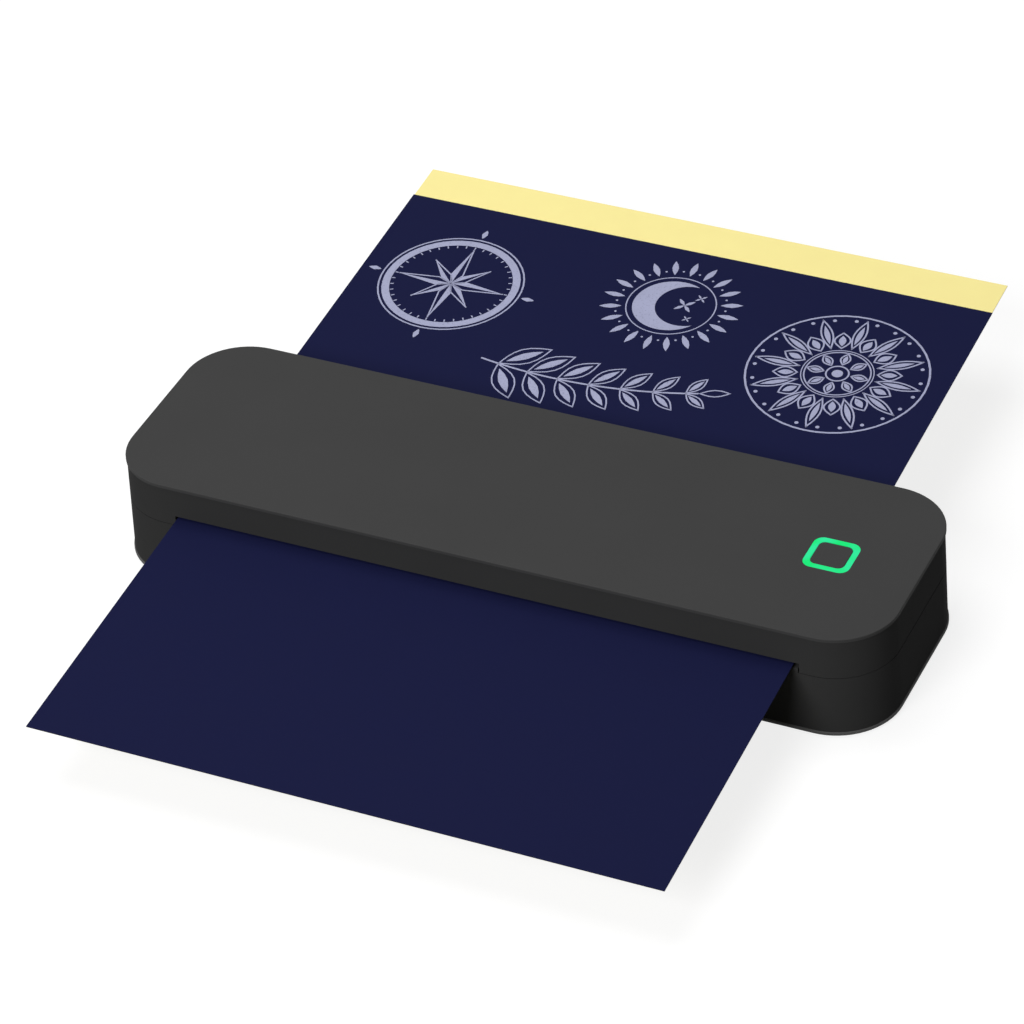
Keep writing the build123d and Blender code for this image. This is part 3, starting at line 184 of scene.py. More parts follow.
class WorksLooks(bpy.types.PropertyGroup):
    steel: FloatVectorProperty(
        name="Plated steel", description="Side plates, brackets, shafts and screws",
        subtype="COLOR", size=3, min=0, max=1, default=linear("#B9BABD"))
    aluminium: FloatVectorProperty(
        name="Aluminium", description="Extruded heat sink of the print head",
        subtype="COLOR", size=3, min=0, max=1, default=linear("#D0D2D6"))
    acetal: FloatVectorProperty(
        name="Acetal", description="Moulded gears and bushes",
        subtype="COLOR", size=3, min=0, max=1, default=linear("#E6E4DC"))
    rubber: FloatVectorProperty(
        name="Rubber", description="Platen roller and feet",
        subtype="COLOR", size=3, min=0, max=1, default=linear("#2B2B2D"))
    board: FloatVectorProperty(
        name="Solder mask", description="Green lacquer of the circuit boards",
        subtype="COLOR", size=3, min=0, max=1, default=linear("#0F5A32"))


class StudioSettings(bpy.types.PropertyGroup):
    camera_place: FloatVectorProperty(
        name="Camera place", description="Where the camera stands",
        subtype="TRANSLATION", unit="LENGTH", size=3, default=(0.5196, -1.0557, 0.9280))
    camera_turn: FloatVectorProperty(
        name="Camera turn", description="Rotation of the camera about X, Y and Z",
        subtype="EULER", unit="ROTATION", size=3,
        default=(math.radians(52.532), math.radians(3.098), math.radians(24.115)))
    camera_lens: FloatProperty(
        name="Lens", description="Focal length on a 36 mm sensor", min=20, max=500, default=164.96)
    top_light: FloatProperty(
        name="Top lamp", description="Power of the soft lamp overhead", unit="POWER", min=0, default=10.5)
    front_light: FloatProperty(
        name="Front lamp", description="Power of the soft lamp in front, a little to the left",
        unit="POWER", min=0, default=32.0)
    room_light: FloatProperty(
        name="Room light", description="Strength of the light from all round", min=0, max=2, default=0.12)
    floor_size: FloatProperty(
        name="Floor size", description="Width and depth of the floor",
        subtype="DISTANCE", unit="LENGTH", min=1, max=50, default=12.0)


# ---- finishes ------------------------------------------------------------------------------------
def moulded_plastic(name, colour, roughness, grit, relief, specular=0.5):
    """Injection-moulded plastic. Spark-eroded mould walls leave a fine grain, so highlights break up."""
    flow_size = 35.7 * MM
    material, tree = new_material(name)
    place = add(tree, "ShaderNodeTexCoord").outputs["Object"]
    grain = add(tree, "ShaderNodeTexNoise", {"Scale": 1 / grit, "Detail": 2.0}, {"Vector": place})
    flow = add(tree, "ShaderNodeTexNoise", {"Scale": 1 / flow_size, "Detail": 3.0}, {"Vector": place})
    tone = add(
        tree, "ShaderNodeMix", {"data_type": "RGBA", 6: rgba(colour, 0.93), 7: rgba(colour, 1.07)},
        {0: flow.outputs[0]})
    gloss = add(
        tree, "ShaderNodeMapRange", {"To Min": roughness - 0.06, "To Max": roughness + 0.06},
        {"Value": grain.outputs[0]})
    bump = add(
        tree, "ShaderNodeBump", {"Strength": 0.35, "Distance": relief}, {"Height": grain.outputs[0]})
    shader = add(
        tree, "ShaderNodeBsdfPrincipled", {"IOR": 1.53, "Specular IOR Level": specular},
        {"Base Color": tone.outputs[2], "Roughness": gloss.outputs[0], "Normal": bump.outputs[0]})
    finish_tree(tree, shader)
    return material


def worked_metal(name, colour, roughness, stretch, pitch, relief):
    """Rolled, drawn or ground metal. The tool leaves fine lines one way, given by the stretch."""
    stain_size = 16.67 * MM
    material, tree = new_material(name)
    place = add(tree, "ShaderNodeTexCoord").outputs["Object"]
    turned = add(tree, "ShaderNodeMapping", {"Scale": stretch}, {"Vector": place})
    lines = add(
        tree, "ShaderNodeTexNoise", {"Scale": 1 / pitch, "Detail": 2.0}, {"Vector": turned.outputs[0]})
    stain = add(tree, "ShaderNodeTexNoise", {"Scale": 1 / stain_size, "Detail": 2.0}, {"Vector": place})
    tone = add(
        tree, "ShaderNodeMix", {"data_type": "RGBA", 6: rgba(colour, 0.88), 7: rgba(colour, 1.06)},
        {0: stain.outputs[0]})
    gloss = add(
        tree, "ShaderNodeMapRange", {"To Min": roughness - 0.08, "To Max": roughness + 0.1},
        {"Value": lines.outputs[0]})
    bump = add(tree, "ShaderNodeBump", {"Strength": 0.25, "Distance": relief}, {"Height": lines.outputs[0]})
    shader = add(
        tree, "ShaderNodeBsdfPrincipled", {"Metallic": 1.0},
        {"Base Color": tone.outputs[2], "Roughness": gloss.outputs[0], "Normal": bump.outputs[0]})
    finish_tree(tree, shader)
    return material


def carbon_coating(name, colour):
    """Wax-coated carbon paper. The coating is smooth but mottled, with paper fibres faint underneath."""
    # real fibres are about 0.02 mm wide, and are drawn coarse enough to show
    mottle_size, fibre_width, fibre_relief = 11.11 * MM, 0.7143 * MM, 0.02 * MM
    material, tree = new_material(name)
    place = add(tree, "ShaderNodeTexCoord").outputs["Object"]
    mottle = add(tree, "ShaderNodeTexNoise", {"Scale": 1 / mottle_size, "Detail": 4.0}, {"Vector": place})
    along = add(tree, "ShaderNodeMapping", {"Scale": (1.0, 0.25, 1.0)}, {"Vector": place})
    fibre = add(
        tree, "ShaderNodeTexNoise", {"Scale": 1 / fibre_width, "Detail": 3.0}, {"Vector": along.outputs[0]})
    tone = add(
        tree, "ShaderNodeMix", {"data_type": "RGBA", 6: rgba(colour, 0.95), 7: rgba(colour, 1.05)},
        {0: mottle.outputs[0]})
    gloss = add(
        tree, "ShaderNodeMapRange", {"To Min": 0.62, "To Max": 0.74}, {"Value": mottle.outputs[0]})
    bump = add(
        tree, "ShaderNodeBump", {"Strength": 0.2, "Distance": fibre_relief}, {"Height": fibre.outputs[0]})
    shader = add(
        tree, "ShaderNodeBsdfPrincipled", {"IOR": 1.3, "Specular IOR Level": 0.08},
        {"Base Color": tone.outputs[2], "Roughness": gloss.outputs[0], "Normal": bump.outputs[0]})
    finish_tree(tree, shader)
    return material


def soft_paper(name, colour):
    """Uncoated tissue backing. Long fibres lie along the roll and scatter light, so it is dead matte."""
    # real fibres are about 0.02 mm wide, and are drawn coarse enough to show
    fibre_width, fibre_relief, cloud_size = 0.9091 * MM, 0.03 * MM, 8.333 * MM
    material, tree = new_material(name)
    place = add(tree, "ShaderNodeTexCoord").outputs["Object"]
    along = add(tree, "ShaderNodeMapping", {"Scale": (1.0, 0.15, 1.0)}, {"Vector": place})
    fibre = add(
        tree, "ShaderNodeTexNoise", {"Scale": 1 / fibre_width, "Detail": 4.0}, {"Vector": along.outputs[0]})
    cloud = add(tree, "ShaderNodeTexNoise", {"Scale": 1 / cloud_size, "Detail": 3.0}, {"Vector": place})
    tone = add(
        tree, "ShaderNodeMix", {"data_type": "RGBA", 6: rgba(colour, 0.965), 7: rgba(colour, 1.02)},
        {0: cloud.outputs[0]})
    bump = add(
        tree, "ShaderNodeBump", {"Strength": 0.3, "Distance": fibre_relief}, {"Height": fibre.outputs[0]})
    shader = add(
        tree, "ShaderNodeBsdfPrincipled", {"Roughness": 0.9, "IOR": 1.3, "Specular IOR Level": 0.2},
        {"Base Color": tone.outputs[2], "Normal": bump.outputs[0]})
    finish_tree(tree, shader)
    return material


def printed_line(name, colour, carbon):
    """Line left where heat has lifted the carbon. It thins out in specks, so the navy shows through."""
    speck_size, band_size = 0.625 * MM, 7.143 * MM
    material, tree = new_material(name)
    place = add(tree, "ShaderNodeTexCoord").outputs["Object"]
    specks = add(tree, "ShaderNodeTexNoise", {"Scale": 1 / speck_size, "Detail": 2.0}, {"Vector": place})
    bands = add(tree, "ShaderNodeTexNoise", {"Scale": 1 / band_size, "Detail": 2.0}, {"Vector": place})
    worn = add(
        tree, "ShaderNodeMapRange", {"From Min": 0.58, "From Max": 0.8, "To Min": 0.0, "To Max": 0.45},
        {"Value": specks.outputs[0]})
    tone = add(
        tree, "ShaderNodeMix", {"data_type": "RGBA", 6: rgba(colour, 0.88), 7: rgba(colour, 1.08)},
        {0: bands.outputs[0]})
    mixed = add(
        tree, "ShaderNodeMix", {"data_type": "RGBA", 7: rgba(carbon, 1.2)},
        {0: worn.outputs[0], 6: tone.outputs[2]})
    shader = add(
        tree, "ShaderNodeBsdfPrincipled", {"Roughness": 0.8, "IOR": 1.3, "Specular IOR Level": 0.3},
        {"Base Color": mixed.outputs[2]})
    finish_tree(tree, shader)
    return material


def lit_plastic(name, colour, glow):
    """Milky polycarbonate light guide, lit from below. Its light is uneven, in patches of a second tone."""
    patch_size, second_tone = 7.692 * MM, linear("#36F0B2")
    material, tree = new_material(name)
    place = add(tree, "ShaderNodeTexCoord").outputs["Object"]
    soft = add(tree, "ShaderNodeTexNoise", {"Scale": 1 / patch_size, "Detail": 1.0}, {"Vector": place})
    share = add(
        tree, "ShaderNodeMapRange", {"From Min": 0.42, "From Max": 0.6, "To Min": 0.0, "To Max": 1.0},
        {"Value": soft.outputs[0]})
    tone = add(
        tree, "ShaderNodeMix", {"data_type": "RGBA", 6: rgba(colour), 7: rgba(second_tone)},
        {0: share.outputs[0]})
    shader = add(
        tree, "ShaderNodeBsdfPrincipled",
        {"Base Color": rgba(colour, 0.4), "Roughness": 0.35, "IOR": 1.58, "Specular IOR Level": 0.1,
         "Emission Strength": glow},
        {"Emission Color": tone.outputs[2]})
    finish_tree(tree, shader)
    return material


def rolled_rubber(name, colour, roughness):
    """Ground silicone rubber. Grinding leaves a dusty bloom and lines round the roller."""
    # grinding lines are finer than this on a real roller, and are drawn coarse enough to show
    line_pitch, line_relief, bloom_size = 0.6667 * MM, 0.04 * MM, 14.29 * MM
    material, tree = new_material(name)
    place = add(tree, "ShaderNodeTexCoord").outputs["Object"]
    round_lines = add(tree, "ShaderNodeMapping", {"Scale": (1.0, 0.08, 0.08)}, {"Vector": place})
    ground = add(
        tree, "ShaderNodeTexNoise", {"Scale": 1 / line_pitch, "Detail": 3.0},
        {"Vector": round_lines.outputs[0]})
    bloom = add(tree, "ShaderNodeTexNoise", {"Scale": 1 / bloom_size, "Detail": 4.0}, {"Vector": place})
    tone = add(
        tree, "ShaderNodeMix", {"data_type": "RGBA", 6: rgba(colour, 0.85), 7: rgba(colour, 1.35)},
        {0: bloom.outputs[0]})
    bump = add(
        tree, "ShaderNodeBump", {"Strength": 0.3, "Distance": line_relief}, {"Height": ground.outputs[0]})
    shader = add(
        tree, "ShaderNodeBsdfPrincipled", {"Roughness": roughness, "IOR": 1.41, "Sheen Weight": 0.15},
        {"Base Color": tone.outputs[2], "Normal": bump.outputs[0]})
    finish_tree(tree, shader)
    return material


def solder_mask(name, colour):
    """Glass-fibre board under green lacquer. Copper tracks show through as a lighter pattern."""
    track_width, track_pitch, track_run = 0.2 * MM, 1.6 * MM, 6.2 * MM
    weave_pitch, weave_relief = 1.111 * MM, 0.02 * MM
    material, tree = new_material(name)
    place = add(tree, "ShaderNodeTexCoord").outputs["Object"]
    tracks = add(
        tree, "ShaderNodeTexBrick",
        {"Scale": 1.0, "Mortar Size": track_width, "Brick Width": track_run, "Row Height": track_pitch,
         "Color1": rgba(colour, 0.8), "Color2": rgba(colour, 1.0), "Mortar": rgba(colour, 1.9)},
        {"Vector": place})
    weave = add(tree, "ShaderNodeTexNoise", {"Scale": 1 / weave_pitch, "Detail": 2.0}, {"Vector": place})
    bump = add(
        tree, "ShaderNodeBump", {"Strength": 0.2, "Distance": weave_relief}, {"Height": weave.outputs[0]})
    shader = add(
        tree, "ShaderNodeBsdfPrincipled", {"Roughness": 0.32, "IOR": 1.5, "Coat Weight": 0.25},
        {"Base Color": tracks.outputs["Color"], "Normal": bump.outputs[0]})
    finish_tree(tree, shader)
    return material


def heater_ceramic(name, line_back, line_width):
    """Alumina substrate with a glazed bar. The dark line is the row of heating dots along the nip."""
    grain_size = 1.25 * MM  # real alumina grain is far finer, and would not show
    material, tree = new_material(name)
    place = add(tree, "ShaderNodeTexCoord").outputs["Object"]
    split = add(tree, "ShaderNodeSeparateXYZ", None, {0: place})
    off = add(tree, "ShaderNodeMath", {"operation": "SUBTRACT", 1: line_back}, {0: split.outputs["Y"]})
    away = add(tree, "ShaderNodeMath", {"operation": "ABSOLUTE"}, {0: off.outputs[0]})
    inside = add(
        tree, "ShaderNodeMath", {"operation": "LESS_THAN", 1: line_width / 2}, {0: away.outputs[0]})
    grain = add(tree, "ShaderNodeTexNoise", {"Scale": 1 / grain_size, "Detail": 3.0}, {"Vector": place})
    body = add(
        tree, "ShaderNodeMix",
        {"data_type": "RGBA", 6: rgba(linear("#DAD8D2")), 7: rgba(linear("#EFEDE8"))}, {0: grain.outputs[0]})
    tone = add(
        tree, "ShaderNodeMix", {"data_type": "RGBA", 7: rgba(linear("#3B2E26"))},
        {0: inside.outputs[0], 6: body.outputs[2]})
    shader = add(
        tree, "ShaderNodeBsdfPrincipled", {"Roughness": 0.28, "IOR": 1.6}, {"Base Color": tone.outputs[2]})
    finish_tree(tree, shader)
    return material


def shrink_film(name, colour, wrinkle_pitch):
    """PVC shrink sleeve on steel cells. The film is glossy, and slightly wrinkled along each cell."""
    wrinkle_relief = 0.1 * MM
    material, tree = new_material(name)
    place = add(tree, "ShaderNodeTexCoord").outputs["Object"]
    folds = add(tree, "ShaderNodeMapping", {"Scale": (0.12, 1.0, 1.0)}, {"Vector": place})
    wrinkle = add(
        tree, "ShaderNodeTexNoise", {"Scale": 1 / wrinkle_pitch, "Detail": 3.0},
        {"Vector": folds.outputs[0]})
    # The colour follows the wrinkles: painted shade in their hollows and a painted highlight on their crests
    tone = add(
        tree, "ShaderNodeMix", {"data_type": "RGBA", 6: rgba(colour, 0.85), 7: rgba(colour, 1.15)},
        {0: wrinkle.outputs[0]})
    bump = add(
        tree, "ShaderNodeBump", {"Strength": 0.4, "Distance": wrinkle_relief},
        {"Height": wrinkle.outputs[0]})
    shader = add(
        tree, "ShaderNodeBsdfPrincipled", {"Roughness": 0.25, "IOR": 1.54},
        {"Base Color": tone.outputs[2], "Normal": bump.outputs[0]})
    finish_tree(tree, shader)
    return material


# ---- printed figures: shapes in a flat mesh, in millimetres ------------------------------------------
def faces_of(verts):
    """The faces that use only these vertices."""
    kept = set(verts)
    found = {f for v in verts for f in v.link_faces}
    return [f for f in found if kept.issuperset(f.verts)]


def outline_only(bm, face, line):
    """Leaves only a band of a face's own edge, as wide as the line."""
    bmesh.ops.inset_region(bm, faces=[face], thickness=line, use_boundary=True, use_even_offset=True)
    bmesh.ops.delete(bm, geom=[face], context="FACES_ONLY")


def disc(bm, centre, radius, line=None, segments=48):
    """A filled disc, or a ring when a line width is given."""
    made = bmesh.ops.create_circle(
        bm, cap_ends=True, segments=segments, radius=radius, matrix=Matrix.Translation((*centre, 0)))
    if line:
        outline_only(bm, faces_of(made["verts"])[0], line)


def leaf(bm, centre, angle, length, width, line=None, segments=24):
    """A pointed leaf that starts at its centre point and runs off at an angle in degrees."""
    made = bmesh.ops.create_circle(bm, cap_ends=True, segments=segments, radius=1.0)
    for v in made["verts"]:
        share = (v.co.y + 1) / 2
        side = 0.0 if abs(v.co.x) < 1e-4 else math.copysign(1, v.co.x)
        v.co.x = side * width / 2 * math.sin(math.pi * share)
        v.co.y = length * share
    turn = Matrix.Translation((*centre, 0)) @ Matrix.Rotation(math.radians(angle - 90), 4, "Z")
    bmesh.ops.transform(bm, matrix=turn, verts=made["verts"])
    if line:
        outline_only(bm, faces_of(made["verts"])[0], line)


def bar(bm, start, end, line):
    """A straight line from one point to another."""
    a, b = Vector((*start, 0)), Vector((*end, 0))
    run = b - a
    made = bmesh.ops.create_grid(bm, x_segments=1, y_segments=1, size=0.5)
    scale = Matrix.Diagonal((run.length, line, 1, 1))
    turn = Matrix.Rotation(math.atan2(run.y, run.x), 4, "Z")
    bmesh.ops.transform(bm, matrix=Matrix.Translation((a + b) / 2) @ turn @ scale, verts=made["verts"])


def arc(bm, centre, radius, start, end, line, steps=20):
    """A curved line, from one angle in degrees to another."""
    turn = Matrix.Rotation(math.radians(start), 4, "Z")
    middle = Vector((*centre, 0))
    ends = [bm.verts.new(middle + turn @ Vector((radius + i * line / 2, 0, 0))) for i in (-1, 1)]
    edge = bm.edges.new(ends)
    bmesh.ops.spin(
        bm, geom=[*ends, edge], cent=middle, axis=(0, 0, 1), dvec=(0, 0, 0),
        angle=math.radians(end - start), steps=steps, use_merge=False)


def patch(bm, points):
    """A filled flat shape with straight sides."""
    bm.faces.new([bm.verts.new((*p, 0)) for p in points])


def repeated(count, draw, start=0.0):
    """Draws the same shape at even angles all round."""
    for i in range(count):
        draw(start + 360 * i / count)


def polar(radius, angle, centre):
    """The point at a distance and an angle in degrees from a centre."""
    a = math.radians(angle)
    return (centre[0] + radius * math.cos(a), centre[1] + radius * math.sin(a))


def rosette(bm, centre, size, line):
    """A round ornament of three rows of petals between rings."""
    # each ring's radius and line, as shares of the ornament's size and of the line's width
    rings = ((0.13, 0.8), (0.36, 0.7), (0.39, 0.5), (0.98, 1.0))
    for radius, width in rings:
        disc(bm, centre, size * radius, line * width)
    disc(bm, centre, size * 0.06)

    def petals(count, inner, length, width, start):
        def draw(angle):
            root = polar(size * inner, angle, centre)
            leaf(bm, root, angle, size * length, size * width, line * 0.8)
            leaf(bm, polar(size * (inner + length * 0.17), angle, centre), angle, size * length * 0.62,
                 size * width * 0.42)
        repeated(count, draw, start)

    petals(count=8, inner=0.14, length=0.21, width=0.12, start=0)
    petals(count=12, inner=0.41, length=0.28, width=0.19, start=15)
    petals(count=12, inner=0.41, length=0.52, width=0.14, start=0)
    repeated(24, lambda a: disc(bm, polar(size * 0.89, a, centre), size * 0.022, segments=12), start=7.5)


def compass(bm, centre, size, line):
    """An eight-pointed star, each point half filled, in a broad band with marks like a dial's."""
    disc(bm, centre, size * 0.86, line * 0.8)
    disc(bm, centre, size * 0.81, size * 0.09)
    repeated(40, lambda a: bar(bm, polar(size * 0.67, a, centre), polar(size * 0.71, a, centre), line * 0.6))

    half_gap = 360 / 8 / 2

    def point(angle, reach, half):
        tip = polar(size * reach, angle, centre)
        left = polar(size * half, angle + half_gap, centre)
        right = polar(size * half, angle - half_gap, centre)
        patch(bm, [centre, left, tip])
        bar(bm, tip, right, line * 0.7)
        bar(bm, right, centre, line * 0.7)

    repeated(4, lambda a: point(a, reach=0.5, half=0.16), start=45)
    repeated(4, lambda a: point(a, reach=0.66, half=0.19))
    repeated(4, lambda a: leaf(bm, polar(size * 0.89, a, centre), a, size * 0.16, size * 0.07, segments=8))


def moon(bm, centre, size, line):
    """A filled crescent in a ring of rays, with small stars in its arms."""
    outer = size * 0.52
    inner = size * 0.42
    apart = Vector((size * 0.2, size * 0.05))
    shift = (centre[0] + apart.x, centre[1] + apart.y)
    way = math.degrees(math.atan2(apart.y, apart.x))
    chord = (outer ** 2 - inner ** 2 + apart.length_squared) / (2 * apart.length)
    horn = math.degrees(math.acos(chord / outer))
    hollow = math.degrees(math.acos((chord - apart.length) / inner))
    steps = 40
    outside = [polar(outer, way + horn + (360 - 2 * horn) * i / steps, centre) for i in range(steps + 1)]
    inside = [polar(inner, way - hollow - (360 - 2 * hollow) * i / steps, shift) for i in range(1, steps)]
    patch(bm, outside + inside)

    def ray(angle):
        leaf(bm, polar(size * 0.66, angle, centre), angle, size * 0.3, size * 0.09, segments=12)

    repeated(20, ray)
    repeated(20, lambda a: disc(bm, polar(size * 0.74, a, centre), size * 0.016, segments=10), start=9)
    disc(bm, centre, size * 0.61, line * 0.6, segments=72)

    def star(middle, reach):
        repeated(4, lambda a: leaf(bm, middle, a, reach, reach * 0.34, segments=8), start=45)

    star((centre[0] + size * 0.17, centre[1] + size * 0.06), size * 0.16)
    star((centre[0] + size * 0.33, centre[1] + size * 0.26), size * 0.09)
    star((centre[0] + size * 0.3, centre[1] - size * 0.2), size * 0.07)


def sprig(bm, foot, angle, length, line):
    """A curved stem with paired leaves that shrink towards the tip."""
    bend = 28.0
    radius = length / math.radians(bend)
    middle = polar(radius, angle + 90, foot)
    arc(bm, middle, radius, angle - 90, angle - 90 + bend, line)
    pairs = 7
    spread = 48  # a leaf's angle from the stem
    for i in range(pairs):
        turn = bend * (i + 0.6) / pairs
        node = polar(radius, angle - 90 + turn, middle)
        reach = length * (0.25 - 0.019 * i)
        for side in (-1, 1):
            way = angle + turn + side * spread
            leaf(bm, node, way, reach, reach * 0.42, line * 0.7, segments=20)
            leaf(bm, polar(reach * 0.15, way, node), way, reach * 0.68, reach * 0.17, segments=12)
    tip = polar(radius, angle - 90 + bend, middle)
    leaf(bm, tip, angle + bend, length * 0.14, length * 0.05, line * 0.7, segments=16)


def sheet_matrix():
    """From flat millimetres on the sheet's top face to the frame. The origin is under the cover's middle."""
    axis = JOINTS["sheet_feed"]["axis"]
    tilt = math.atan2(-axis[2], -axis[1])
    low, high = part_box("transfer_sheet")
    middle = Vector(((low.x + high.x) / 2, 0, high.z - math.tan(tilt) * high.y))
    return Matrix.Translation(middle) @ Matrix.Rotation(tilt, 4, "X") @ Matrix.Scale(MM, 4)


def printed_piece(name, material, relief, draw):
    """A printed figure as a thin closed mesh that lies on the sheet and rides with it."""
    bm = bmesh.new()
    draw(bm)
    flat = bm.faces[:]
    raised = bmesh.ops.extrude_face_region(bm, geom=flat, use_keep_orig=True)
    up = [e for e in raised["geom"] if isinstance(e, bmesh.types.BMVert)]
    bmesh.ops.translate(bm, vec=(0, 0, relief / MM), verts=up)
    bmesh.ops.recalc_face_normals(bm, faces=bm.faces[:])
    bmesh.ops.transform(bm, matrix=sheet_matrix(), verts=bm.verts[:])
    mesh = bpy.data.meshes.new(name)
    bm.to_mesh(mesh)
    bm.free()
    mesh.materials.append(material)
    made = bpy.data.objects.new(name, mesh)
    bpy.context.scene.collection.objects.link(made)
    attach(made, "sheet")


# ---- operators -----------------------------------------------------------------------------------
class COPIER_OT_casing(bpy.types.Operator):
    """Finish the base, the cover and the panel in moulded black plastic"""
    bl_idname = "copier.casing"
    bl_label = "Casing"

    def execute(self, context):
        looks = context.scene.copier_casing
        fine_grit = looks.grit * 0.7
        dress(moulded_plastic("textured_abs", looks.casing, 0.8, looks.grit,
                              relief=0.03 * MM, specular=0.01),
              "base_shell", "top_cover")
        # The plate's lighter grey paints a highlight on its rim; the plate is black ABS like the casing
        dress(moulded_plastic("plate_abs", looks.plate, 0.7, looks.grit, relief=0.03 * MM, specular=0.25),
              "bottom_plate")
        dress(moulded_plastic("satin_abs", looks.panel, 0.75, fine_grit, relief=0.01 * MM, specular=0.08),
              "top_panel", "power_button")
        dress(rolled_rubber("foot_rubber", context.scene.copier_works.rubber, roughness=0.85), "rubber_feet")
        return {"FINISHED"}


class COPIER_OT_light_ring(bpy.types.Operator):
    """Light the ring round the power button, and finish what lies under it"""
    bl_idname = "copier.light_ring"
    bl_label = "Light ring"

    def execute(self, context):
        looks = context.scene.copier_casing
        dress(lit_plastic("lit_polycarbonate", looks.ring, looks.ring_glow), "light_ring")
        dress(lit_plastic("led_lens", linear("#DFFFE9"), glow=0.4), "ring_leds")
        dress(moulded_plastic("switch_nylon", linear("#26262A"), 0.45, grit=0.4 * MM, relief=0.01 * MM),
              "tact_switch")
        return {"FINISHED"}


class COPIER_OT_sheet(bpy.types.Operator):
    """Finish the two plies of the transfer sheet"""
    bl_idname = "copier.sheet"
    bl_label = "Transfer sheet"

    def execute(self, context):
        looks = context.scene.copier_sheet
        dress(carbon_coating("carbon_wax", looks.carbon), "transfer_sheet")
        dress(soft_paper("backing_tissue", looks.backing), "backing_sheet")
        return {"FINISHED"}


class COPIER_OT_print(bpy.types.Operator):
    """Lay the printed figures on the rear half of the transfer sheet"""
    bl_idname = "copier.print"
    bl_label = "Printed figures"

    def execute(self, context):
        looks = context.scene.copier_sheet
        line = looks.line / MM
        ink = printed_line("lifted_carbon", looks.ink, looks.carbon)
        printed_piece("print_rosette", ink, looks.relief, lambda bm: rosette(bm, *ROSETTE, line))
        printed_piece("print_compass", ink, looks.relief, lambda bm: compass(bm, *COMPASS, line))
        printed_piece("print_moon", ink, looks.relief, lambda bm: moon(bm, *MOON, line))
        printed_piece("print_sprig", ink, looks.relief, lambda bm: sprig(bm, *SPRIG, line))
        return {"FINISHED"}


class COPIER_OT_works(bpy.types.Operator):
    """Finish the side plates, shafts, gears, motor and platen"""
    bl_idname = "copier.works"
    bl_label = "Print mechanism"

    def execute(self, context):
        looks = context.scene.copier_works
        dress(worked_metal("zinc_plated_sheet", looks.steel, 0.38, stretch=(1.0, 0.2, 1.0),
                           pitch=0.8 * MM, relief=0.01 * MM),
              "side_plate_left", "side_plate_right", "head_brackets")
        dress(worked_metal("ground_steel", looks.steel, 0.22, stretch=(1.0, 0.05, 0.05),
                           pitch=0.4 * MM, relief=0.006 * MM),
              "platen_shaft", "idler_axle", "motor_shaft", "hinge_pins", "head_pins")
        dress(worked_metal("drawn_steel_can", looks.steel, 0.33, stretch=(0.1, 1.0, 1.0),
                           pitch=0.7 * MM, relief=0.01 * MM),
              "stepper_motor")
        dress(worked_metal("spring_steel", linear("#8E9094"), 0.3, stretch=(1.0, 1.0, 0.3),
                           pitch=0.6 * MM, relief=0.01 * MM),
              "head_springs", "shaft_clips", "idler_clip")
        dress(moulded_plastic("acetal", looks.acetal, 0.4, grit=0.6 * MM, relief=0.01 * MM),
              "platen_gear", "idler_gear", "motor_pinion", "bush_left", "bush_right")
        dress(rolled_rubber("ground_silicone", looks.rubber, roughness=0.75), "platen_rubber")
        return {"FINISHED"}


class COPIER_OT_guides(bpy.types.Operator):
    """Finish the two paper guides and the sensors between their ribs"""
    bl_idname = "copier.guides"
    bl_label = "Paper guides"

    def execute(self, context):
        dress(moulded_plastic("guide_abs", linear("#29292B"), 0.42, grit=0.6 * MM, relief=0.01 * MM),
              "lower_guide", "upper_guide", "battery_cradle")
        dress(moulded_plastic("sensor_epoxy", linear("#17171A"), 0.3, grit=0.5 * MM, relief=0.005 * MM),
              "paper_sensors")
        return {"FINISHED"}


class COPIER_OT_print_head(bpy.types.Operator):
    """Finish the ceramic print head, its heat sink and its connector"""
    bl_idname = "copier.print_head"
    bl_label = "Print head"

    def execute(self, context):
        looks = context.scene.copier_works
        heater = JOINTS["head_pivot"]["pos_m"][1] + HEATER_BACK
        dress(heater_ceramic("glazed_alumina", heater, HEATER_WIDTH), "print_head")
        dress(worked_metal("extruded_aluminium", looks.aluminium, 0.4, stretch=(0.04, 1.0, 1.0),
                           pitch=0.6 * MM, relief=0.02 * MM),
              "heat_sink")
        dress(moulded_plastic("connector_nylon", linear("#E8E4D6"), 0.45, grit=0.5 * MM, relief=0.01 * MM),
              "head_connector")
        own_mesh(NODES["head_springs"])
        return {"FINISHED"}


class COPIER_OT_electronics(bpy.types.Operator):
    """Finish the boards, their parts, the charging socket and the battery cells"""
    bl_idname = "copier.electronics"
    bl_label = "Electronics"

    def execute(self, context):
        looks = context.scene.copier_works
        dress(solder_mask("green_solder_mask", looks.board), "main_board", "charge_board", "switch_board")
        dress(moulded_plastic("chip_epoxy", linear("#1B1B1E"), 0.4, grit=0.4 * MM, relief=0.01 * MM),
              "board_parts")
        dress(worked_metal("bright_nickel", linear("#C9C7C2"), 0.16, stretch=(1.0, 1.0, 1.0),
                           pitch=0.8 * MM, relief=0.004 * MM),
              "usb_socket", "base_magnets", "cover_magnets")
        dress(shrink_film("cell_sleeve", linear("#2F5F9E"), wrinkle_pitch=3 * MM), "battery_cells")
        return {"FINISHED"}


class COPIER_OT_fasteners(bpy.types.Operator):
    """Finish every group of screws"""
    bl_idname = "copier.fasteners"
    bl_label = "Fasteners"

    def execute(self, context):
        groups = [name for name in NODES if "screws" in name]
        dress(worked_metal("turned_screw_steel", linear("#A3A4A8"), 0.28, stretch=(1.0, 1.0, 0.2),
                           pitch=0.5 * MM, relief=0.008 * MM),
              *groups)
        return {"FINISHED"}


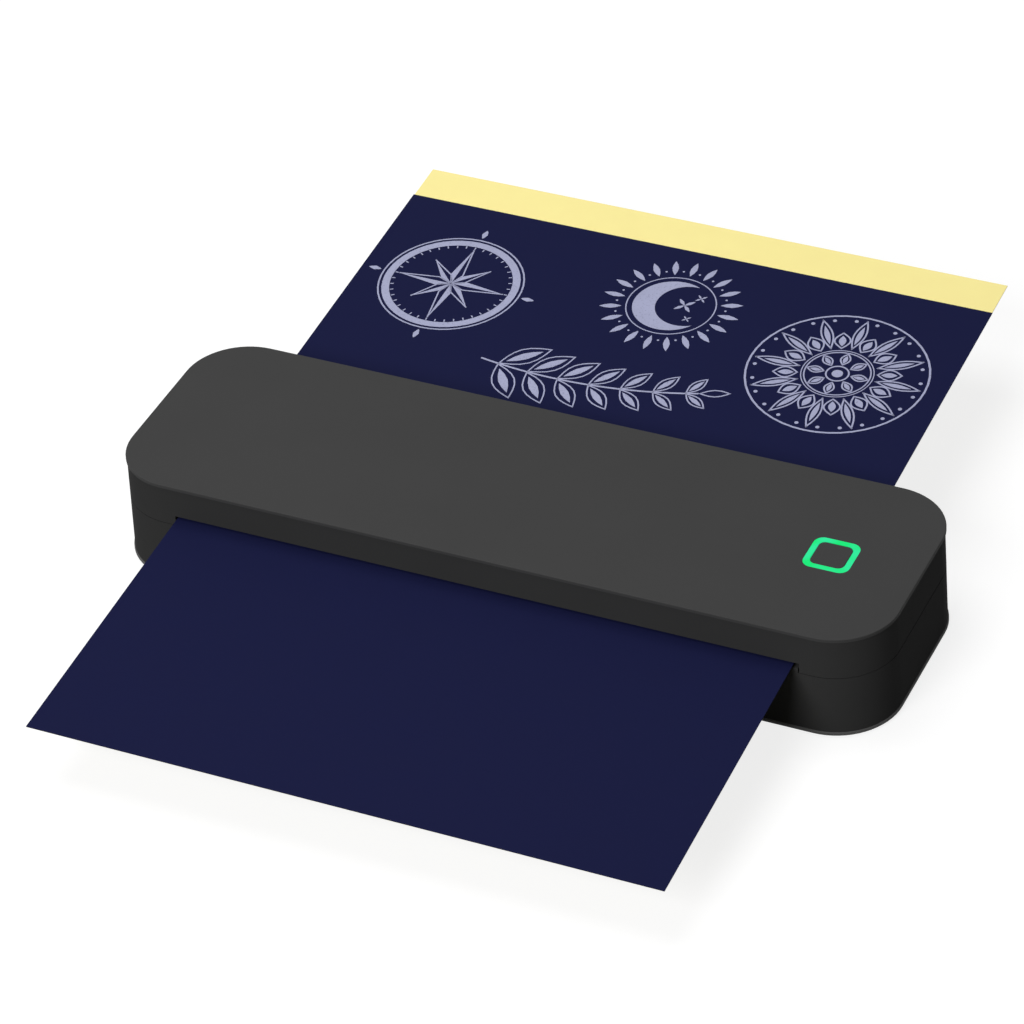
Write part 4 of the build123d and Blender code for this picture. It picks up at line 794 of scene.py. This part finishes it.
class COPIER_OT_stage(bpy.types.Operator):
    """Set the floor, the lamps, the room light and the camera"""
    bl_idname = "copier.stage"
    bl_label = "Studio"

    def execute(self, context):
        studio = context.scene.copier_studio
        self.floor(studio)
        self.lamp("top_lamp", *TOP_LAMP, studio.top_light)
        self.lamp("front_lamp", *FRONT_LAMP, studio.front_light)
        self.room(context, studio)
        self.camera(context, studio)
        context.scene.view_settings.view_transform = "Standard"
        return {"FINISHED"}

    def floor(self, studio):
        """A floor that looks white. Its own white is only seen, so it adds no light to the copier."""
        bm = bmesh.new()
        bmesh.ops.create_grid(bm, x_segments=1, y_segments=1, size=studio.floor_size / 2)
        mesh = bpy.data.meshes.new("floor")
        bm.to_mesh(mesh)
        bm.free()
        material, tree = new_material("studio_floor")
        place = add(tree, "ShaderNodeTexCoord").outputs["Object"]
        dust = add(tree, "ShaderNodeTexNoise", {"Scale": FLOOR_DUST}, {"Vector": place})
        dark, light = FLOOR_TONES
        tone = add(
            tree, "ShaderNodeMix",
            {"data_type": "RGBA", 6: (dark, dark, dark, 1.0), 7: (light, light, light, 1.0)},
            {0: dust.outputs[0]})
        shade = add(tree, "ShaderNodeBsdfDiffuse", None, {"Color": tone.outputs[2]})
        share = add(tree, "ShaderNodeMath", {"operation": "MULTIPLY", 1: FLOOR_WHITE}, {0: seen_rays(tree)})
        glow = add(tree, "ShaderNodeEmission", None, {"Strength": share.outputs[0]})
        both = add(tree, "ShaderNodeAddShader", None, {0: shade.outputs[0], 1: glow.outputs[0]})
        finish_tree(tree, both)
        mesh.materials.append(material)
        made = bpy.data.objects.new("floor", mesh)
        bpy.context.scene.collection.objects.link(made)

    def lamp(self, name, place, size, power):
        """A square soft lamp that points at the copier."""
        data = bpy.data.lights.new(name, "AREA")
        data.size = size
        data.energy = power
        made = bpy.data.objects.new(name, data)
        made.location = place
        made.rotation_euler = (-Vector(place)).to_track_quat("-Z", "Y").to_euler()
        bpy.context.scene.collection.objects.link(made)

    def room(self, context, studio):
        """Even light from all round, with a plain white backdrop to look at."""
        world = bpy.data.worlds.new("room")
        world.use_nodes = True
        tree = world.node_tree
        tree.nodes.clear()
        even = add(tree, "ShaderNodeBackground", {"Color": (1, 1, 1, 1), "Strength": studio.room_light})
        white = add(tree, "ShaderNodeBackground", {"Color": (1, 1, 1, 1), "Strength": 1.0})
        both = add(
            tree, "ShaderNodeMixShader", None,
            {0: seen_rays(tree), 1: even.outputs[0], 2: white.outputs[0]})
        add(tree, "ShaderNodeOutputWorld", None, {"Surface": both.outputs[0]})
        context.scene.world = world

    def camera(self, context, studio):
        """The camera, with no shift and no blur."""
        data = bpy.data.cameras.new("camera")
        data.lens = studio.camera_lens
        data.sensor_width = SENSOR_WIDTH
        data.clip_end = 50.0
        made = bpy.data.objects.new("camera", data)
        made.location = studio.camera_place
        made.rotation_euler = studio.camera_turn
        context.scene.collection.objects.link(made)
        context.scene.camera = made


class COPIER_PT_panel(bpy.types.Panel):
    """Lists what makes up the finished copier"""
    bl_idname = "COPIER_PT_panel"
    bl_label = "Stencil Copier"
    bl_space_type = "VIEW_3D"
    bl_region_type = "UI"
    bl_category = "Stencil Copier"

    def draw(self, context):
        for group in ("copier_casing", "copier_sheet", "copier_works", "copier_studio"):
            settings = getattr(context.scene, group)
            box = self.layout.box()
            for name in settings.__annotations__:
                box.prop(settings, name)
        for operator in OPERATORS:
            self.layout.operator(operator.bl_idname)


OPERATORS = (
    COPIER_OT_casing, COPIER_OT_light_ring, COPIER_OT_sheet, COPIER_OT_print, COPIER_OT_works,
    COPIER_OT_guides, COPIER_OT_print_head, COPIER_OT_electronics, COPIER_OT_fasteners, COPIER_OT_stage,
)
GROUPS = {
    "copier_casing": CasingLooks, "copier_sheet": SheetLooks, "copier_works": WorksLooks,
    "copier_studio": StudioSettings,
}


def register():
    for cls in (*GROUPS.values(), *OPERATORS, COPIER_PT_panel):
        bpy.utils.register_class(cls)
    for name, group in GROUPS.items():
        setattr(bpy.types.Scene, name, PointerProperty(type=group))


def unregister():
    for name in GROUPS:
        delattr(bpy.types.Scene, name)
    for cls in (COPIER_PT_panel, *reversed(OPERATORS), *GROUPS.values()):
        bpy.utils.unregister_class(cls)


def main():
    """Finishes the copier, one operator after the other."""
    register()
    for operator in OPERATORS:
        family, action = operator.bl_idname.split(".")
        getattr(getattr(bpy.ops, family), action)()
    bpy.context.view_layer.update()


if __name__ == "__main__":
    main()
